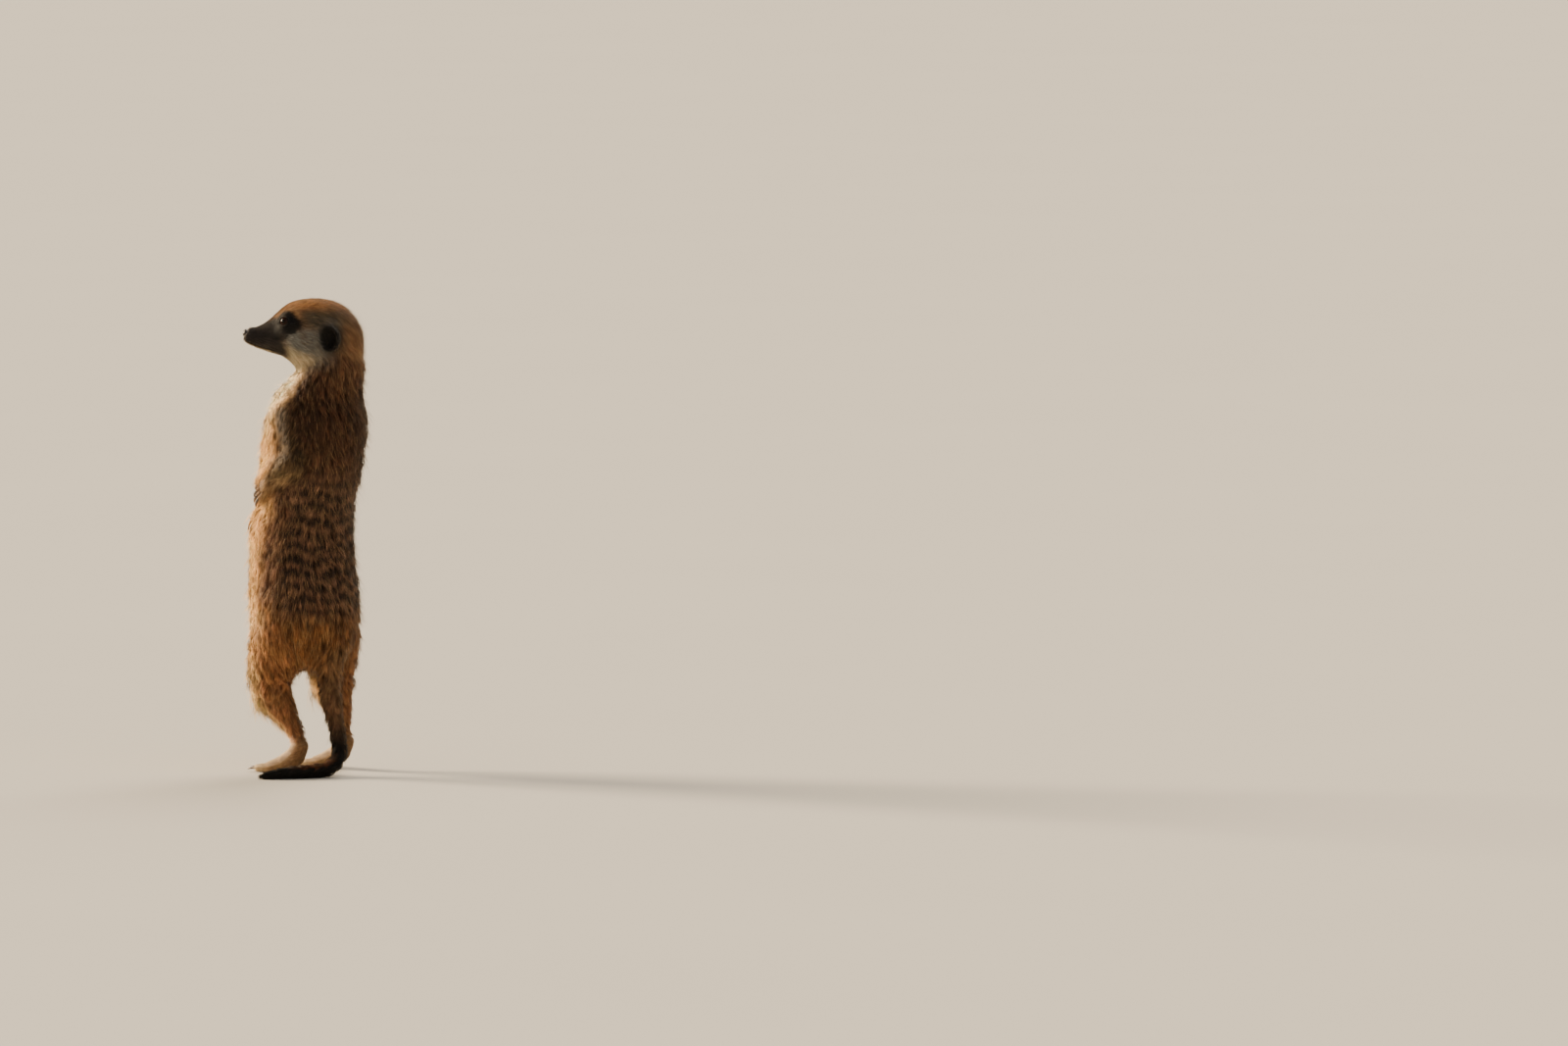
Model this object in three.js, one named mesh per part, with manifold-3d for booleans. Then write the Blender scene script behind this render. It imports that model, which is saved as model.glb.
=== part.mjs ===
// A meerkat standing upright on its hind feet and tail, looking over its left shoulder.
// Life size, in millimetres. The body faces -Y, its left side is +X, and it stands on z = 0.
// Every size runs out to the tips of the coat.
import * as THREE from 'three';
import { mergeVertices } from 'three/addons/utils/BufferGeometryUtils.js';
import Module from 'manifold-3d';

const wasm = await Module();
wasm.setup();

// Driving dimensions
const joinGap = 0.3; // clear space left between two pieces that meet
const noseHeight = 278.5; // tip of the nose above the floor
const noseLeft = 34.1; // tip of the nose from the middle of the hips, to the left
const noseAhead = 20; // and ahead
const headTurn = 45; // degrees the head is turned to its left
const neckBase = 239; // heights where the trunk is parted
const chestBase = 165;
const bellyBase = 114;
const shoulderHeight = 230;
const elbowHeight = 202;
const hipHeight = 98;
const kneeHeight = 52;
const hockHeight = 26;
const eyeRadius = 4.7;
const earWidth = 15;
const earHeight = 19;
const toesPerFoot = 4;
const foreClawLength = 9;
const hindClawLength = 6;

const coats = {
  head: 0x9a7a5c,
  nose: 0x17110f,
  ear: 0x1b1512,
  eye: 0x120a06,
  neck: 0x8f6a48,
  trunk: 0x8a5f3c,
  tail: 0x7a4b2a,
  tailTip: 0x1c1310,
  arm: 0x7f6448,
  leg: 0xa06b3d,
  foot: 0xc9a67c,
  claw: 0x2b211b,
};

// Places are given as left, ahead and up of the floor point between the hips.
const at = (left, ahead, up) => new THREE.Vector3(left, -ahead, up);
const upward = new THREE.Vector3(0, 0, 1);
const leftward = new THREE.Vector3(1, 0, 0);
const backward = new THREE.Vector3(0, 1, 0);

// Catmull-Rom value at a place along a row of numbers, counted in steps of the row
function smoothValue(row, place) {
  const last = row.length - 1;
  const i = Math.min(Math.floor(place), last - 1);
  const u = place - i;
  const pick = (k) => row[Math.max(0, Math.min(last, k))];
  const [a, b, c, d] = [pick(i - 1), pick(i), pick(i + 1), pick(i + 2)];
  const bend = 2 * a - 5 * b + 4 * c - d;
  const twist = 3 * b - a - 3 * c + d;
  return 0.5 * (2 * b + (c - a) * u + bend * u * u + twist * u * u * u);
}

function stationAt(stations, place) {
  const value = (read) => smoothValue(stations.map(read), place);
  return {
    centre: new THREE.Vector3(
      value((s) => s.at.x),
      value((s) => s.at.y),
      value((s) => s.at.z),
    ),
    wide: value((s) => s.wide),
    under: value((s) => s.down ?? s.deep),
    over: value((s) => s.up ?? s.deep),
    turn: THREE.MathUtils.degToRad(value((s) => s.turn ?? 0)),
  };
}

// A closed form through a row of oval sections. Each section has a half width along
// `across` and a half depth on either side. `along` keeps all sections parallel, and
// `domes` rounds the first and last end by that height. `grow` makes it larger all over.
function loft(stations, options = {}) {
  const { across = leftward, along = null, sides = 16, steps = 2 } = options;
  const { domes = [0, 0], full = 2, grow = 0, trim = 0 } = options;
  const { from = 0, to = stations.length - 1, domeRings = 2 } = options;
  const count = Math.max(1, Math.round((to - from) * steps));
  const nudge = 0.01;
  const rings = [];
  for (let i = 0; i <= count; i += 1) {
    const place = from + ((to - from) * i) / count;
    const ring = stationAt(stations, place);
    const ahead = stationAt(stations, Math.min(place + nudge, stations.length - 1)).centre;
    const behind = stationAt(stations, Math.max(place - nudge, 0)).centre;
    ring.line = along ? along.clone() : ahead.sub(behind).normalize();
    const side = across.clone().applyAxisAngle(ring.line, ring.turn);
    ring.side = side.addScaledVector(ring.line, -side.dot(ring.line)).normalize();
    ring.deep = ring.line.clone().cross(ring.side);
    ring.wide += grow;
    ring.under += grow;
    ring.over += grow;
    rings.push(ring);
  }
  const endShift = grow - trim;
  rings[0].centre.addScaledVector(rings[0].line, -endShift);
  rings[count].centre.addScaledVector(rings[count].line, endShift);

  const domed = (ring, height, sign) => {
    const list = [];
    for (let k = 1; k <= domeRings; k += 1) {
      const angle = (k / (domeRings + 1)) * (Math.PI / 2);
      const copy = { ...ring, centre: ring.centre.clone() };
      copy.centre.addScaledVector(ring.line, sign * height * Math.sin(angle));
      for (const size of ['wide', 'under', 'over']) copy[size] = ring[size] * Math.cos(angle);
      list.push(copy);
    }
    return list;
  };
  const start = domes[0] ? domed(rings[0], domes[0], -1).reverse() : [];
  const finish = domes[1] ? domed(rings[count], domes[1], 1) : [];
  const poles = [
    rings[0].centre.clone().addScaledVector(rings[0].line, -domes[0]),
    rings[count].centre.clone().addScaledVector(rings[count].line, domes[1]),
  ];
  return skinOver([...start, ...rings, ...finish], poles, sides, full);
}

// Vertices and faces over a row of oval rings, closed by a pole at each end
function skinOver(rings, poles, sides, full) {
  const bulge = (v) => Math.sign(v) * Math.abs(v) ** (2 / full);
  const places = [];
  for (const ring of rings) {
    for (let j = 0; j < sides; j += 1) {
      const angle = (j / sides) * 2 * Math.PI;
      const out = bulge(Math.sin(angle));
      const point = ring.centre.clone();
      point.addScaledVector(ring.side, ring.wide * bulge(Math.cos(angle)));
      point.addScaledVector(ring.deep, out * (out > 0 ? ring.under : ring.over));
      places.push(point);
    }
  }
  places.push(...poles);
  const faces = [];
  for (let i = 0; i < rings.length - 1; i += 1) {
    for (let j = 0; j < sides; j += 1) {
      const next = (j + 1) % sides;
      const [a, b] = [i * sides + j, i * sides + next];
      faces.push(a, b, b + sides, a, b + sides, a + sides);
    }
  }
  const top = (rings.length - 1) * sides;
  for (let j = 0; j < sides; j += 1) {
    const next = (j + 1) % sides;
    faces.push(places.length - 2, next, j);
    faces.push(places.length - 1, top + j, top + next);
  }
  const geometry = new THREE.BufferGeometry().setFromPoints(places);
  geometry.setIndex(faces);
  return geometry;
}

// Three.js geometry to a solid that can be joined and cut, and back
function solid(geometry) {
  const bare = geometry.clone();
  bare.deleteAttribute('normal');
  bare.deleteAttribute('uv');
  const merged = mergeVertices(bare, 1e-4);
  return new wasm.Manifold(new wasm.Mesh({
    numProp: 3,
    vertProperties: new Float32Array(merged.attributes.position.array),
    triVerts: new Uint32Array(merged.index.array),
  }));
}

function geometryOf(body) {
  const { vertProperties, triVerts } = body.getMesh();
  const geometry = new THREE.BufferGeometry();
  geometry.setAttribute('position', new THREE.BufferAttribute(vertProperties, 3));
  geometry.setIndex(new THREE.BufferAttribute(triVerts, 1));
  return geometry;
}

const joined = (bodies) => bodies.reduce((all, body) => all.add(body));
const cutBy = (body, cutters) => cutters.reduce((rest, cutter) => rest.subtract(cutter), body);

// A form is a function of how much it is grown, so that a neighbour can be cut clear of it.
const whole = (form) => solid(form(0));
const cleared = (form) => solid(form(joinGap));

const roomSize = 600;
function slab(low, high) {
  const room = new THREE.BoxGeometry(roomSize, roomSize, high - low);
  room.translate(0, 0, (low + high) / 2);
  return solid(room);
}
const zone = (low, high) => slab(low + joinGap / 2, high - joinGap / 2);
const floorCut = slab(-roomSize, 0);

// ---- Trunk and neck, one form parted by level cuts, twisting to the left as it rises ----
const trunkLine = [
  { at: at(0, -2, 70), wide: 21, deep: 24 },
  { at: at(0, -1.5, 78), wide: 28, deep: 30 },
  { at: at(0, -0.3, 90), wide: 34.5, deep: 35 },
  { at: at(0, 0, 106), wide: 36, deep: 34 },
  { at: at(0, 1, 121), wide: 35.5, deep: 34 },
  { at: at(0, 2.5, 140), wide: 34, deep: 32.5, turn: 3 },
  { at: at(0, 2, 158), wide: 33.5, deep: 32, turn: 5 },
  { at: at(0, -1.3, 175), wide: 32.5, deep: 31.5, turn: 8 },
  { at: at(0, -6, 190), wide: 33, deep: 32, turn: 10 },
  { at: at(0, -7.7, 205), wide: 34, deep: 32.5, turn: 12 },
  { at: at(0, -10.8, 220), wide: 34.5, deep: 33, turn: 14 },
  { at: at(-0.8, -11, 230), wide: 32, deep: 31, turn: 17 },
  { at: at(-2, -10.4, 239.5), wide: 29, deep: 29, turn: 22 },
  { at: at(-3, -14.5, 247), wide: 25.3, deep: 25, turn: 27 },
  { at: at(-4.2, -18.9, 254), wide: 22.3, deep: 22.6, turn: 32 },
  { at: at(-4.6, -20, 263), wide: 21.5, deep: 22, turn: 36 },
  { at: at(-4.6, -19.6, 272), wide: 17, deep: 17, turn: 40 },
];
const trunkForm = (grow) => loft(trunkLine, {
  along: upward, sides: 18, steps: 1, domes: [6, 0], full: 2.05, grow,
});

// ---- Head, laid out from the nose back, then turned and lifted into place ----
const headPlace = new THREE.Matrix4()
  .makeRotationZ(THREE.MathUtils.degToRad(headTurn))
  .setPosition(at(noseLeft, noseAhead, noseHeight));
const inHead = (side, back, up) => new THREE.Vector3(side, back, up);
const placedInHead = (geometry) => geometry.applyMatrix4(headPlace);

// Back from the nose tip, height of the widest level, crown, chin and half width
const headSections = [
  [1.6, -0.8, 3.2, -5.2, 5.0],
  [5, -1.2, 4.4, -7.2, 6.1],
  [10, -1.4, 5.8, -9.2, 7.3],
  [15, -1.2, 8.7, -11.4, 9.0],
  [20, -0.6, 13.3, -12.8, 12.0],
  [25, 0, 18.0, -14.3, 15.6],
  [30, -0.6, 21.4, -18.6, 18.8],
  [37, -2.2, 23.1, -23.5, 21.4],
  [45, -3.4, 23.8, -26, 22.9],
  [54, -4, 23.1, -26.5, 22.9],
  [62, -4.2, 21.2, -25.5, 21.2],
  [68, -4.6, 16.6, -23.5, 18.3],
  [73, -5.6, 8.6, -20, 14.2],
];
const headLine = headSections.map(([back, widest, crown, chin, wide]) => ({
  at: inHead(0, back, widest), wide, up: crown - widest, down: widest - chin,
}));
const headForm = (grow) => placedInHead(loft(headLine, {
  along: backward, sides: 16, steps: 1.25, domes: [1.4, 4], full: 2.1, grow,
}));

const oval = (radii, grow, columns, rows) => {
  const ball = new THREE.SphereGeometry(1, columns, rows);
  ball.scale(radii.x + grow, radii.y + grow, radii.z + grow);
  return ball;
};

const noseRadii = new THREE.Vector3(4.2, 2.7, 3.3);
const noseForm = (grow) => placedInHead(
  oval(noseRadii, grow, 10, 8).translate(0, noseRadii.y - 0.2, 0.2),
);

const eyeRadii = new THREE.Vector3(eyeRadius, eyeRadius, eyeRadius);
const eyeOut = 12.4;
const eyeBack = 28;
const eyeRise = 8.6;
const eyeForm = (side) => (grow) => placedInHead(
  oval(eyeRadii, grow, 10, 8).translate(side * eyeOut, eyeBack, eyeRise),
);

// The ear is a low cup that opens ahead, set on the side of the head.
const earOut = 21.6;
const earBack = 54.5;
const earRise = -1.2;
const earProud = 7;
const earWall = 1.5;
const earHollowOut = 3.4;
const earHollowAhead = 1.2;
const earRadii = new THREE.Vector3(earProud, earWidth / 2, earHeight / 2);
function earCup(side) {
  const cup = placedInHead(oval(earRadii, 0, 10, 8).translate(side * earOut, earBack, earRise));
  const hollow = placedInHead(
    oval(earRadii, -earWall, 8, 5)
      .translate(side * (earOut + earHollowOut), earBack - earHollowAhead, earRise),
  );
  return solid(cup).subtract(solid(hollow)).subtract(cleared(headForm));
}

// ---- Tail, from the rump down to the floor and round the outside of the left foot ----
const tailLine = [
  { at: at(0, -24, 86), wide: 9.5, deep: 9.5 },
  { at: at(0.5, -25, 74), wide: 9.6, deep: 9.6 },
  { at: at(1.5, -23.5, 60), wide: 8.2, deep: 8.2 },
  { at: at(3, -27, 44), wide: 7.2, deep: 7.2 },
  { at: at(4.2, -33, 28), wide: 6.2, deep: 6.2 },
  { at: at(7, -38, 14.5), wide: 5.6, deep: 5.6 },
  { at: at(13.5, -40, 7), wide: 5.2, deep: 5.2 },
  { at: at(25, -36.5, 4.9), wide: 4.9, deep: 4.9 },
  { at: at(37, -30.5, 4.3), wide: 4.5, deep: 4.5 },
  { at: at(48, -23.5, 3.5), wide: 3.7, deep: 3.7 },
  { at: at(56, -18, 2.6), wide: 2.6, deep: 2.6 },
];
const tailParts = [
  { name: 'tail_base', from: 0, to: 2.5, domes: [5, 0], coat: coats.tail },
  { name: 'tail_upper', from: 2.5, to: 5, domes: [0, 0], coat: coats.tail },
  { name: 'tail_lower', from: 5, to: 7.5, domes: [0, 0], coat: coats.tail },
  { name: 'tail_tip', from: 7.5, to: 10, domes: [0, 3], coat: coats.tailTip },
];
const tailForm = ({ from, to, domes }) => (grow) => loft(tailLine, {
  across: leftward, sides: 10, steps: 2, from, to, domes, grow, trim: joinGap / 2,
});

// ---- Hind legs: the left knee is bent further than the right ----
const legPlans = {
  left: {
    hip: at(19, 0, hipHeight),
    knee: at(21.6, 12, kneeHeight),
    hock: at(20, -13, hockHeight),
  },
  right: {
    hip: at(-19, -4.5, hipHeight),
    knee: at(-24, 0.5, kneeHeight),
    hock: at(-21, -13.5, hockHeight),
  },
};

// Oval sections at shares of the way from one joint to the next
const between = (start, end, sizes) => sizes.map(([share, wide, deep]) => ({
  at: start.clone().lerp(end, share), wide, deep,
}));

const thighSizes = [[0, 16, 20.5], [0.28, 17, 21.6], [0.6, 15.4, 19.8], [0.85, 13.2, 16], [1, 10.5, 12]];
const thighForm = ({ hip, knee }) => (grow) => loft(between(hip, knee, thighSizes), {
  along: upward.clone().negate(), sides: 12, steps: 1, domes: [15, 5], full: 2.1, grow,
});

const shankSizes = [[-0.05, 11, 14.5], [0.3, 9.6, 12], [0.65, 7.2, 8.5], [1, 5.6, 6.1]];
const calfSetBack = at(0, -3.5, 0);
const shankForm = ({ knee, hock }) => (grow) => loft(
  between(knee.clone().add(calfSetBack), hock, shankSizes),
  { across: leftward, sides: 10, steps: 1, domes: [0, 4.5], grow },
);

const soleForm = ({ hock }) => (grow) => loft([
  { at: at(hock.x, -16.5, 19.5), wide: 5.4, deep: 5.6 },
  { at: at(hock.x, -11.5, 11.5), wide: 6.2, deep: 7 },
  { at: at(hock.x, -4, 7), wide: 7.2, deep: 6.6 },
  { at: at(hock.x, 3, 4.8), wide: 8.2, deep: 5.2 },
  { at: at(hock.x, 9, 3.6), wide: 8.4, deep: 4.2 },
], { across: leftward, sides: 10, steps: 1, domes: [4, 3], full: 2.2, grow });

// One toe, and one claw that curves towards the sole from the toe's end
const toeForm = (root, tip, radius) => (grow) => loft([
  { at: root, wide: radius * 1.05, deep: radius },
  { at: tip, wide: radius * 0.92, deep: radius * 0.9 },
], { across: leftward, sides: 6, steps: 1, domes: [0, radius * 0.9], domeRings: 1, grow });

function clawForm(root, line, palmward, length, radius) {
  const reach = (share, drop) => root.clone()
    .addScaledVector(line, length * share)
    .addScaledVector(palmward, length * drop);
  const stations = [
    { at: reach(-0.25, -0.02), wide: radius, deep: radius * 1.1 },
    { at: reach(0.45, 0.06), wide: radius * 0.8, deep: radius * 0.95 },
    { at: reach(0.98, 0.32), wide: radius * 0.32, deep: radius * 0.36 },
  ];
  const across = line.clone().cross(palmward).normalize();
  return (grow) => loft(stations, { across, sides: 5, steps: 1, grow });
}

// A foot: its main form, its toes in a fan and a claw on each toe
function foot({ main, knuckle, tip, across, palmward, spread, toeRadius, clawLength, clawRadius }) {
  const toes = [];
  const claws = [];
  for (let i = 0; i < toesPerFoot; i += 1) {
    const share = i - (toesPerFoot - 1) / 2;
    const shorter = Math.abs(share) > 1 ? 0.82 : 1;
    const root = knuckle.clone().addScaledVector(across, share * spread * 0.8);
    const end = knuckle.clone().lerp(tip, shorter).addScaledVector(across, share * spread);
    const line = end.clone().sub(root).normalize();
    toes.push(toeForm(root, end, toeRadius));
    const clawRoot = end.clone().addScaledVector(line, toeRadius * 0.5);
    claws.push(clawForm(clawRoot, line, palmward, clawLength, clawRadius));
  }
  const form = joined([whole(main), ...toes.map(whole)]);
  return { body: cutBy(form, claws.map(cleared)), claws };
}

const hindToes = { spread: 4.6, toeRadius: 2.9, clawLength: hindClawLength, clawRadius: 1.15 };
const hindFoot = (plan) => foot({
  ...hindToes,
  main: soleForm(plan),
  knuckle: at(plan.hock.x, 9, 3.6),
  tip: at(plan.hock.x, 18, 2.9),
  across: leftward,
  palmward: upward.clone().negate().multiplyScalar(0.35),
});

// ---- Arms, folded against the left flank and hanging ahead of the belly on the right ----
const armPlans = {
  left: {
    shoulder: at(22.5, -11, shoulderHeight),
    elbow: at(28, -23.5, elbowHeight),
    mid: at(31.5, -13, 195),
    wrist: at(31.5, -3, 188),
    knuckle: at(30, 5.5, 182.5),
    tip: at(27.5, 14.5, 177.5),
    back: at(0.8, 0.55, 0.1).normalize(),
  },
  right: {
    shoulder: at(-21.5, -6, shoulderHeight),
    elbow: at(-30.5, -11, elbowHeight - 2),
    mid: at(-28.5, 15, 189),
    wrist: at(-12, 31, 178),
    knuckle: at(-3, 39.5, 166),
    tip: at(2, 42.5, 155.5),
    back: at(0.2, 0.97, 0.1).normalize(),
  },
};

for (const plan of Object.values(armPlans)) {
  plan.across = plan.tip.clone().sub(plan.knuckle).cross(plan.back).normalize();
}

const upperArmForm = ({ shoulder, elbow }) => (grow) => loft([
  { at: shoulder, wide: 12, deep: 12.5 },
  { at: shoulder.clone().lerp(elbow, 0.5), wide: 11.5, deep: 12 },
  { at: elbow, wide: 9, deep: 9.4 },
], { across: leftward, sides: 10, steps: 1.5, domes: [9, 8], grow });

const foreArmForm = ({ elbow, mid, wrist }) => (grow) => loft([
  { at: elbow.clone().lerp(mid, 0.2), wide: 7.6, deep: 7.6 },
  { at: mid, wide: 7.2, deep: 7.2 },
  { at: wrist, wide: 5.4, deep: 5.4 },
], { across: upward, sides: 10, steps: 1, grow });

// The room that a whole paw takes up in the coat that it lies against
const pawRoom = ({ wrist, knuckle, tip, across }) => (grow) => loft([
  { at: wrist, wide: 6, deep: 5.6 },
  { at: knuckle, wide: 7.6, deep: 4.6 },
  { at: tip.clone().lerp(knuckle, -0.25), wide: 8.4, deep: 4 },
  { at: tip.clone().lerp(knuckle, -1.2), wide: 8, deep: 6.5 },
], { across, sides: 8, steps: 1, full: 2.6, grow });

const palmForm = ({ wrist, knuckle, tip, across }) => (grow) => loft([
  { at: wrist.clone().lerp(knuckle, 0.06), wide: 5.2, deep: 5 },
  { at: wrist.clone().lerp(knuckle, 0.6), wide: 6, deep: 4.4 },
  { at: knuckle.clone().lerp(tip, 0.1), wide: 6.4, deep: 3.8 },
], { across, sides: 10, steps: 1, domes: [0, 2], domeRings: 1, full: 2.2, grow });

function forePaw(plan) {
  return foot({
    ...plan,
    main: palmForm(plan),
    palmward: plan.back.clone().negate(),
    spread: 3.3,
    toeRadius: 2.1,
    clawLength: foreClawLength,
    clawRadius: 1.05,
  });
}

// ---- Making the pieces ----
const sides = { left: 1, right: -1 };
const meerkat = new THREE.Group();

function addPiece(group, name, body, color, roughness = 0.9) {
  const geometry = geometryOf(body);
  geometry.computeBoundingBox();
  const centre = geometry.boundingBox.getCenter(new THREE.Vector3());
  geometry.translate(-centre.x, -centre.y, -centre.z);
  const material = new THREE.MeshStandardMaterial({ color, roughness, metalness: 0 });
  const mesh = new THREE.Mesh(geometry, material);
  mesh.name = name;
  mesh.position.copy(centre);
  group.add(mesh);
}

function makeHead() {
  const group = new THREE.Group();
  const inset = [noseForm, eyeForm(sides.left), eyeForm(sides.right)];
  addPiece(group, 'head', cutBy(whole(headForm), inset.map(cleared)), coats.head);
  addPiece(group, 'nose', whole(noseForm), coats.nose, 0.45);
  for (const [sideName, side] of Object.entries(sides)) {
    addPiece(group, `eye_${sideName}`, whole(eyeForm(side)), coats.eye, 0.1);
    addPiece(group, `ear_${sideName}`, earCup(side), coats.ear);
  }
  return group;
}

function makeTrunk(arms) {
  const group = new THREE.Group();
  const trunk = whole(trunkForm);
  const armForms = arms.flatMap((arm) => arm.cleared);
  const aboveNeck = [cleared(headForm), ...armForms];
  addPiece(group, 'neck', cutBy(trunk.intersect(zone(neckBase, roomSize)), aboveNeck), coats.neck);
  addPiece(group, 'chest', cutBy(trunk.intersect(zone(chestBase, neckBase)), armForms), coats.trunk);
  addPiece(group, 'abdomen', cutBy(trunk.intersect(zone(bellyBase, chestBase)), armForms), coats.trunk);
  const below = [...Object.values(legPlans).map(thighForm), tailForm(tailParts[0])];
  addPiece(group, 'pelvis', cutBy(trunk.intersect(zone(0, bellyBase)), below.map(cleared)), coats.trunk);
  return group;
}

function makeTail() {
  const group = new THREE.Group();
  for (const part of tailParts) {
    addPiece(group, part.name, whole(tailForm(part)).subtract(floorCut), part.coat);
  }
  return group;
}

function makeLeg([sideName, plan]) {
  const group = new THREE.Group();
  const { body, claws } = hindFoot(plan);
  const shank = whole(shankForm(plan)).subtract(cleared(thighForm(plan)));
  addPiece(group, `thigh_${sideName}`, whole(thighForm(plan)), coats.leg);
  addPiece(group, `shank_${sideName}`, shank, coats.leg);
  const sole = body.subtract(cleared(shankForm(plan))).subtract(floorCut);
  addPiece(group, `hindfoot_${sideName}`, sole, coats.foot);
  claws.forEach((claw, i) => {
    addPiece(group, `hindclaw_${sideName}_${i + 1}`, whole(claw), coats.claw, 0.4);
  });
  return group;
}

function makeArm([sideName, plan]) {
  const group = new THREE.Group();
  const upper = upperArmForm(plan);
  const fore = foreArmForm(plan);
  const { body, claws } = forePaw(plan);
  addPiece(group, `upperarm_${sideName}`, whole(upper), coats.arm);
  addPiece(group, `forearm_${sideName}`, whole(fore).subtract(cleared(upper)), coats.arm);
  addPiece(group, `forepaw_${sideName}`, body.subtract(cleared(fore)), coats.arm);
  claws.forEach((claw, i) => {
    addPiece(group, `foreclaw_${sideName}_${i + 1}`, whole(claw), coats.claw, 0.4);
  });
  return { group, cleared: [upper, fore, pawRoom(plan)].map(cleared) };
}

const arms = Object.entries(armPlans).map(makeArm);
meerkat.add(makeHead(), makeTrunk(arms), makeTail());
meerkat.add(...arms.map((arm) => arm.group));
meerkat.add(...Object.entries(legPlans).map(makeLeg));

// The origin is on the floor, under the middle of the whole animal.
const room = new THREE.Box3().setFromObject(meerkat);
const middle = room.getCenter(new THREE.Vector3());
meerkat.position.set(-middle.x, -middle.y, 0);
const part = new THREE.Group();
part.add(meerkat);

export default part;
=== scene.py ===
# A standing meerkat that looks over its left shoulder: skin, coat, eyes, nose, claws and whiskers.
# Lengths are in millimetres while a piece is worked out, and become metres when its mesh is made.
from types import SimpleNamespace

import bmesh
import bpy
import numpy as np
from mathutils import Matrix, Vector
from mathutils.bvhtree import BVHTree
from mathutils.kdtree import KDTree


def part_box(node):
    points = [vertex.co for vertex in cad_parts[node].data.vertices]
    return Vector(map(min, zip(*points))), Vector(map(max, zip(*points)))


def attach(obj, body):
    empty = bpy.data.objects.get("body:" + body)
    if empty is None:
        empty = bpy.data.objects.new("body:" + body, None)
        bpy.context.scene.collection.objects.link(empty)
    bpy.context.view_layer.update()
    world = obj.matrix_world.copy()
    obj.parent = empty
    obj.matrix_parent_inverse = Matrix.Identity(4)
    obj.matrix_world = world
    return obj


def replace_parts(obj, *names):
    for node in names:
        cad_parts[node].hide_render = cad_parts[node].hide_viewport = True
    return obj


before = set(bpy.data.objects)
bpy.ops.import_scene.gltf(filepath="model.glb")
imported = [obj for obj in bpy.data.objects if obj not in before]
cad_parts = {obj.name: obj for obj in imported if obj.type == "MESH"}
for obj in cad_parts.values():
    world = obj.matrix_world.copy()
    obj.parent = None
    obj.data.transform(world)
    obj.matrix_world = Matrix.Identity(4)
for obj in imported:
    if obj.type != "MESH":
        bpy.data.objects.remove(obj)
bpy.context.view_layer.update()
mm = 0.001
rng = np.random.default_rng(4071)
print("frame loaded:", len(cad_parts), "parts")


# Small sums used all through

def unit(rows):
    return rows / np.maximum(np.linalg.norm(rows, axis=-1, keepdims=True), 1e-9)


def alongSurface(ways, normals):
    return unit(ways - normals * (ways * normals).sum(1)[:, None])


def ease(low, high, value):  # 0 before low, 1 after high, smooth between; low may be the larger
    share = np.clip((value - low) / (high - low), 0.0, 1.0)
    return share * share * (3.0 - 2.0 * share)


def between(low, high, soft, value):  # 1 from low to high, fading over soft outside
    return ease(low - soft, low + soft, value) * ease(high + soft, high - soft, value)


def lowHigh(node):
    low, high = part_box(node)
    return np.array(low) / mm, np.array(high) / mm


def middle(node):
    low, high = lowHigh(node)
    return (low + high) / 2


noiseSide = 32
noiseBlock = rng.random((noiseSide, noiseSide, noiseSide))
noiseStart = 57.3  # keeps every place that is used on the positive side


def softNoise(points, lump, shift=0.0):  # 0 to 1, in lumps about that many mm across
    place = points / lump + noiseStart + shift
    low = np.floor(place).astype(int)
    share = place - low
    share = share * share * (3 - 2 * share)
    total = np.zeros(len(points))
    for corner in range(8):
        step = np.array([corner & 1, corner >> 1 & 1, corner >> 2])
        part = np.prod(np.where(step == 1, share, 1 - share), axis=1)
        cell = (low + step) % noiseSide
        total += part * noiseBlock[cell[:, 0], cell[:, 1], cell[:, 2]]
    return total


def linear(hexColour):  # a screen colour such as "8a5f3c", in the shader's own numbers
    parts = np.array([int(hexColour[k:k + 2], 16) / 255 for k in (0, 2, 4)])
    return np.where(parts <= 0.04045, parts / 12.92, ((parts + 0.055) / 1.055) ** 2.4)


# The animal's own landmarks, read from the parts

eyeMiddles = {"left": middle("eye_left"), "right": middle("eye_right")}
eyeRadius = float(np.ptp(lowHigh("eye_left"), axis=0).max() / 2)
upward = np.array([0.0, 0.0, 1.0])
headSide = eyeMiddles["left"] - eyeMiddles["right"]
headSide = unit(headSide * np.array([1, 1, 0]))
headBack = np.cross(upward, headSide)
noseMiddle = middle("nose")
noseReach, noseDrop = 2.5, 0.2  # mm from the middle of the nose to its tip, ahead and down
noseTip = noseMiddle - headBack * noseReach - upward * noseDrop
floorPoint = middle("pelvis") * np.array([1, 1, 0])
bellyLow = lowHigh("abdomen")[0][2]
chestLow = lowHigh("chest")[0][2]
neckLow = lowHigh("neck")[0][2]
neckHigh = lowHigh("neck")[1][2]
crownHigh = lowHigh("head")[1][2]
elbowHeight = lowHigh("upperarm_left")[0][2]


def inHead(points):  # to the head's left, back from the nose tip, above the nose tip
    offset = points - noseTip
    return offset @ headSide, offset @ headBack, offset[:, 2]


trunkMiddles = np.array([middle(node) for node in ("pelvis", "abdomen", "chest", "neck")])
twistHeights = [bellyLow + 10, chestLow, (chestLow + neckLow) / 2, neckLow - 8, neckLow + 16, neckHigh]
twistTurns = [0, 6, 12, 18, 33, 42]


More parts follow.
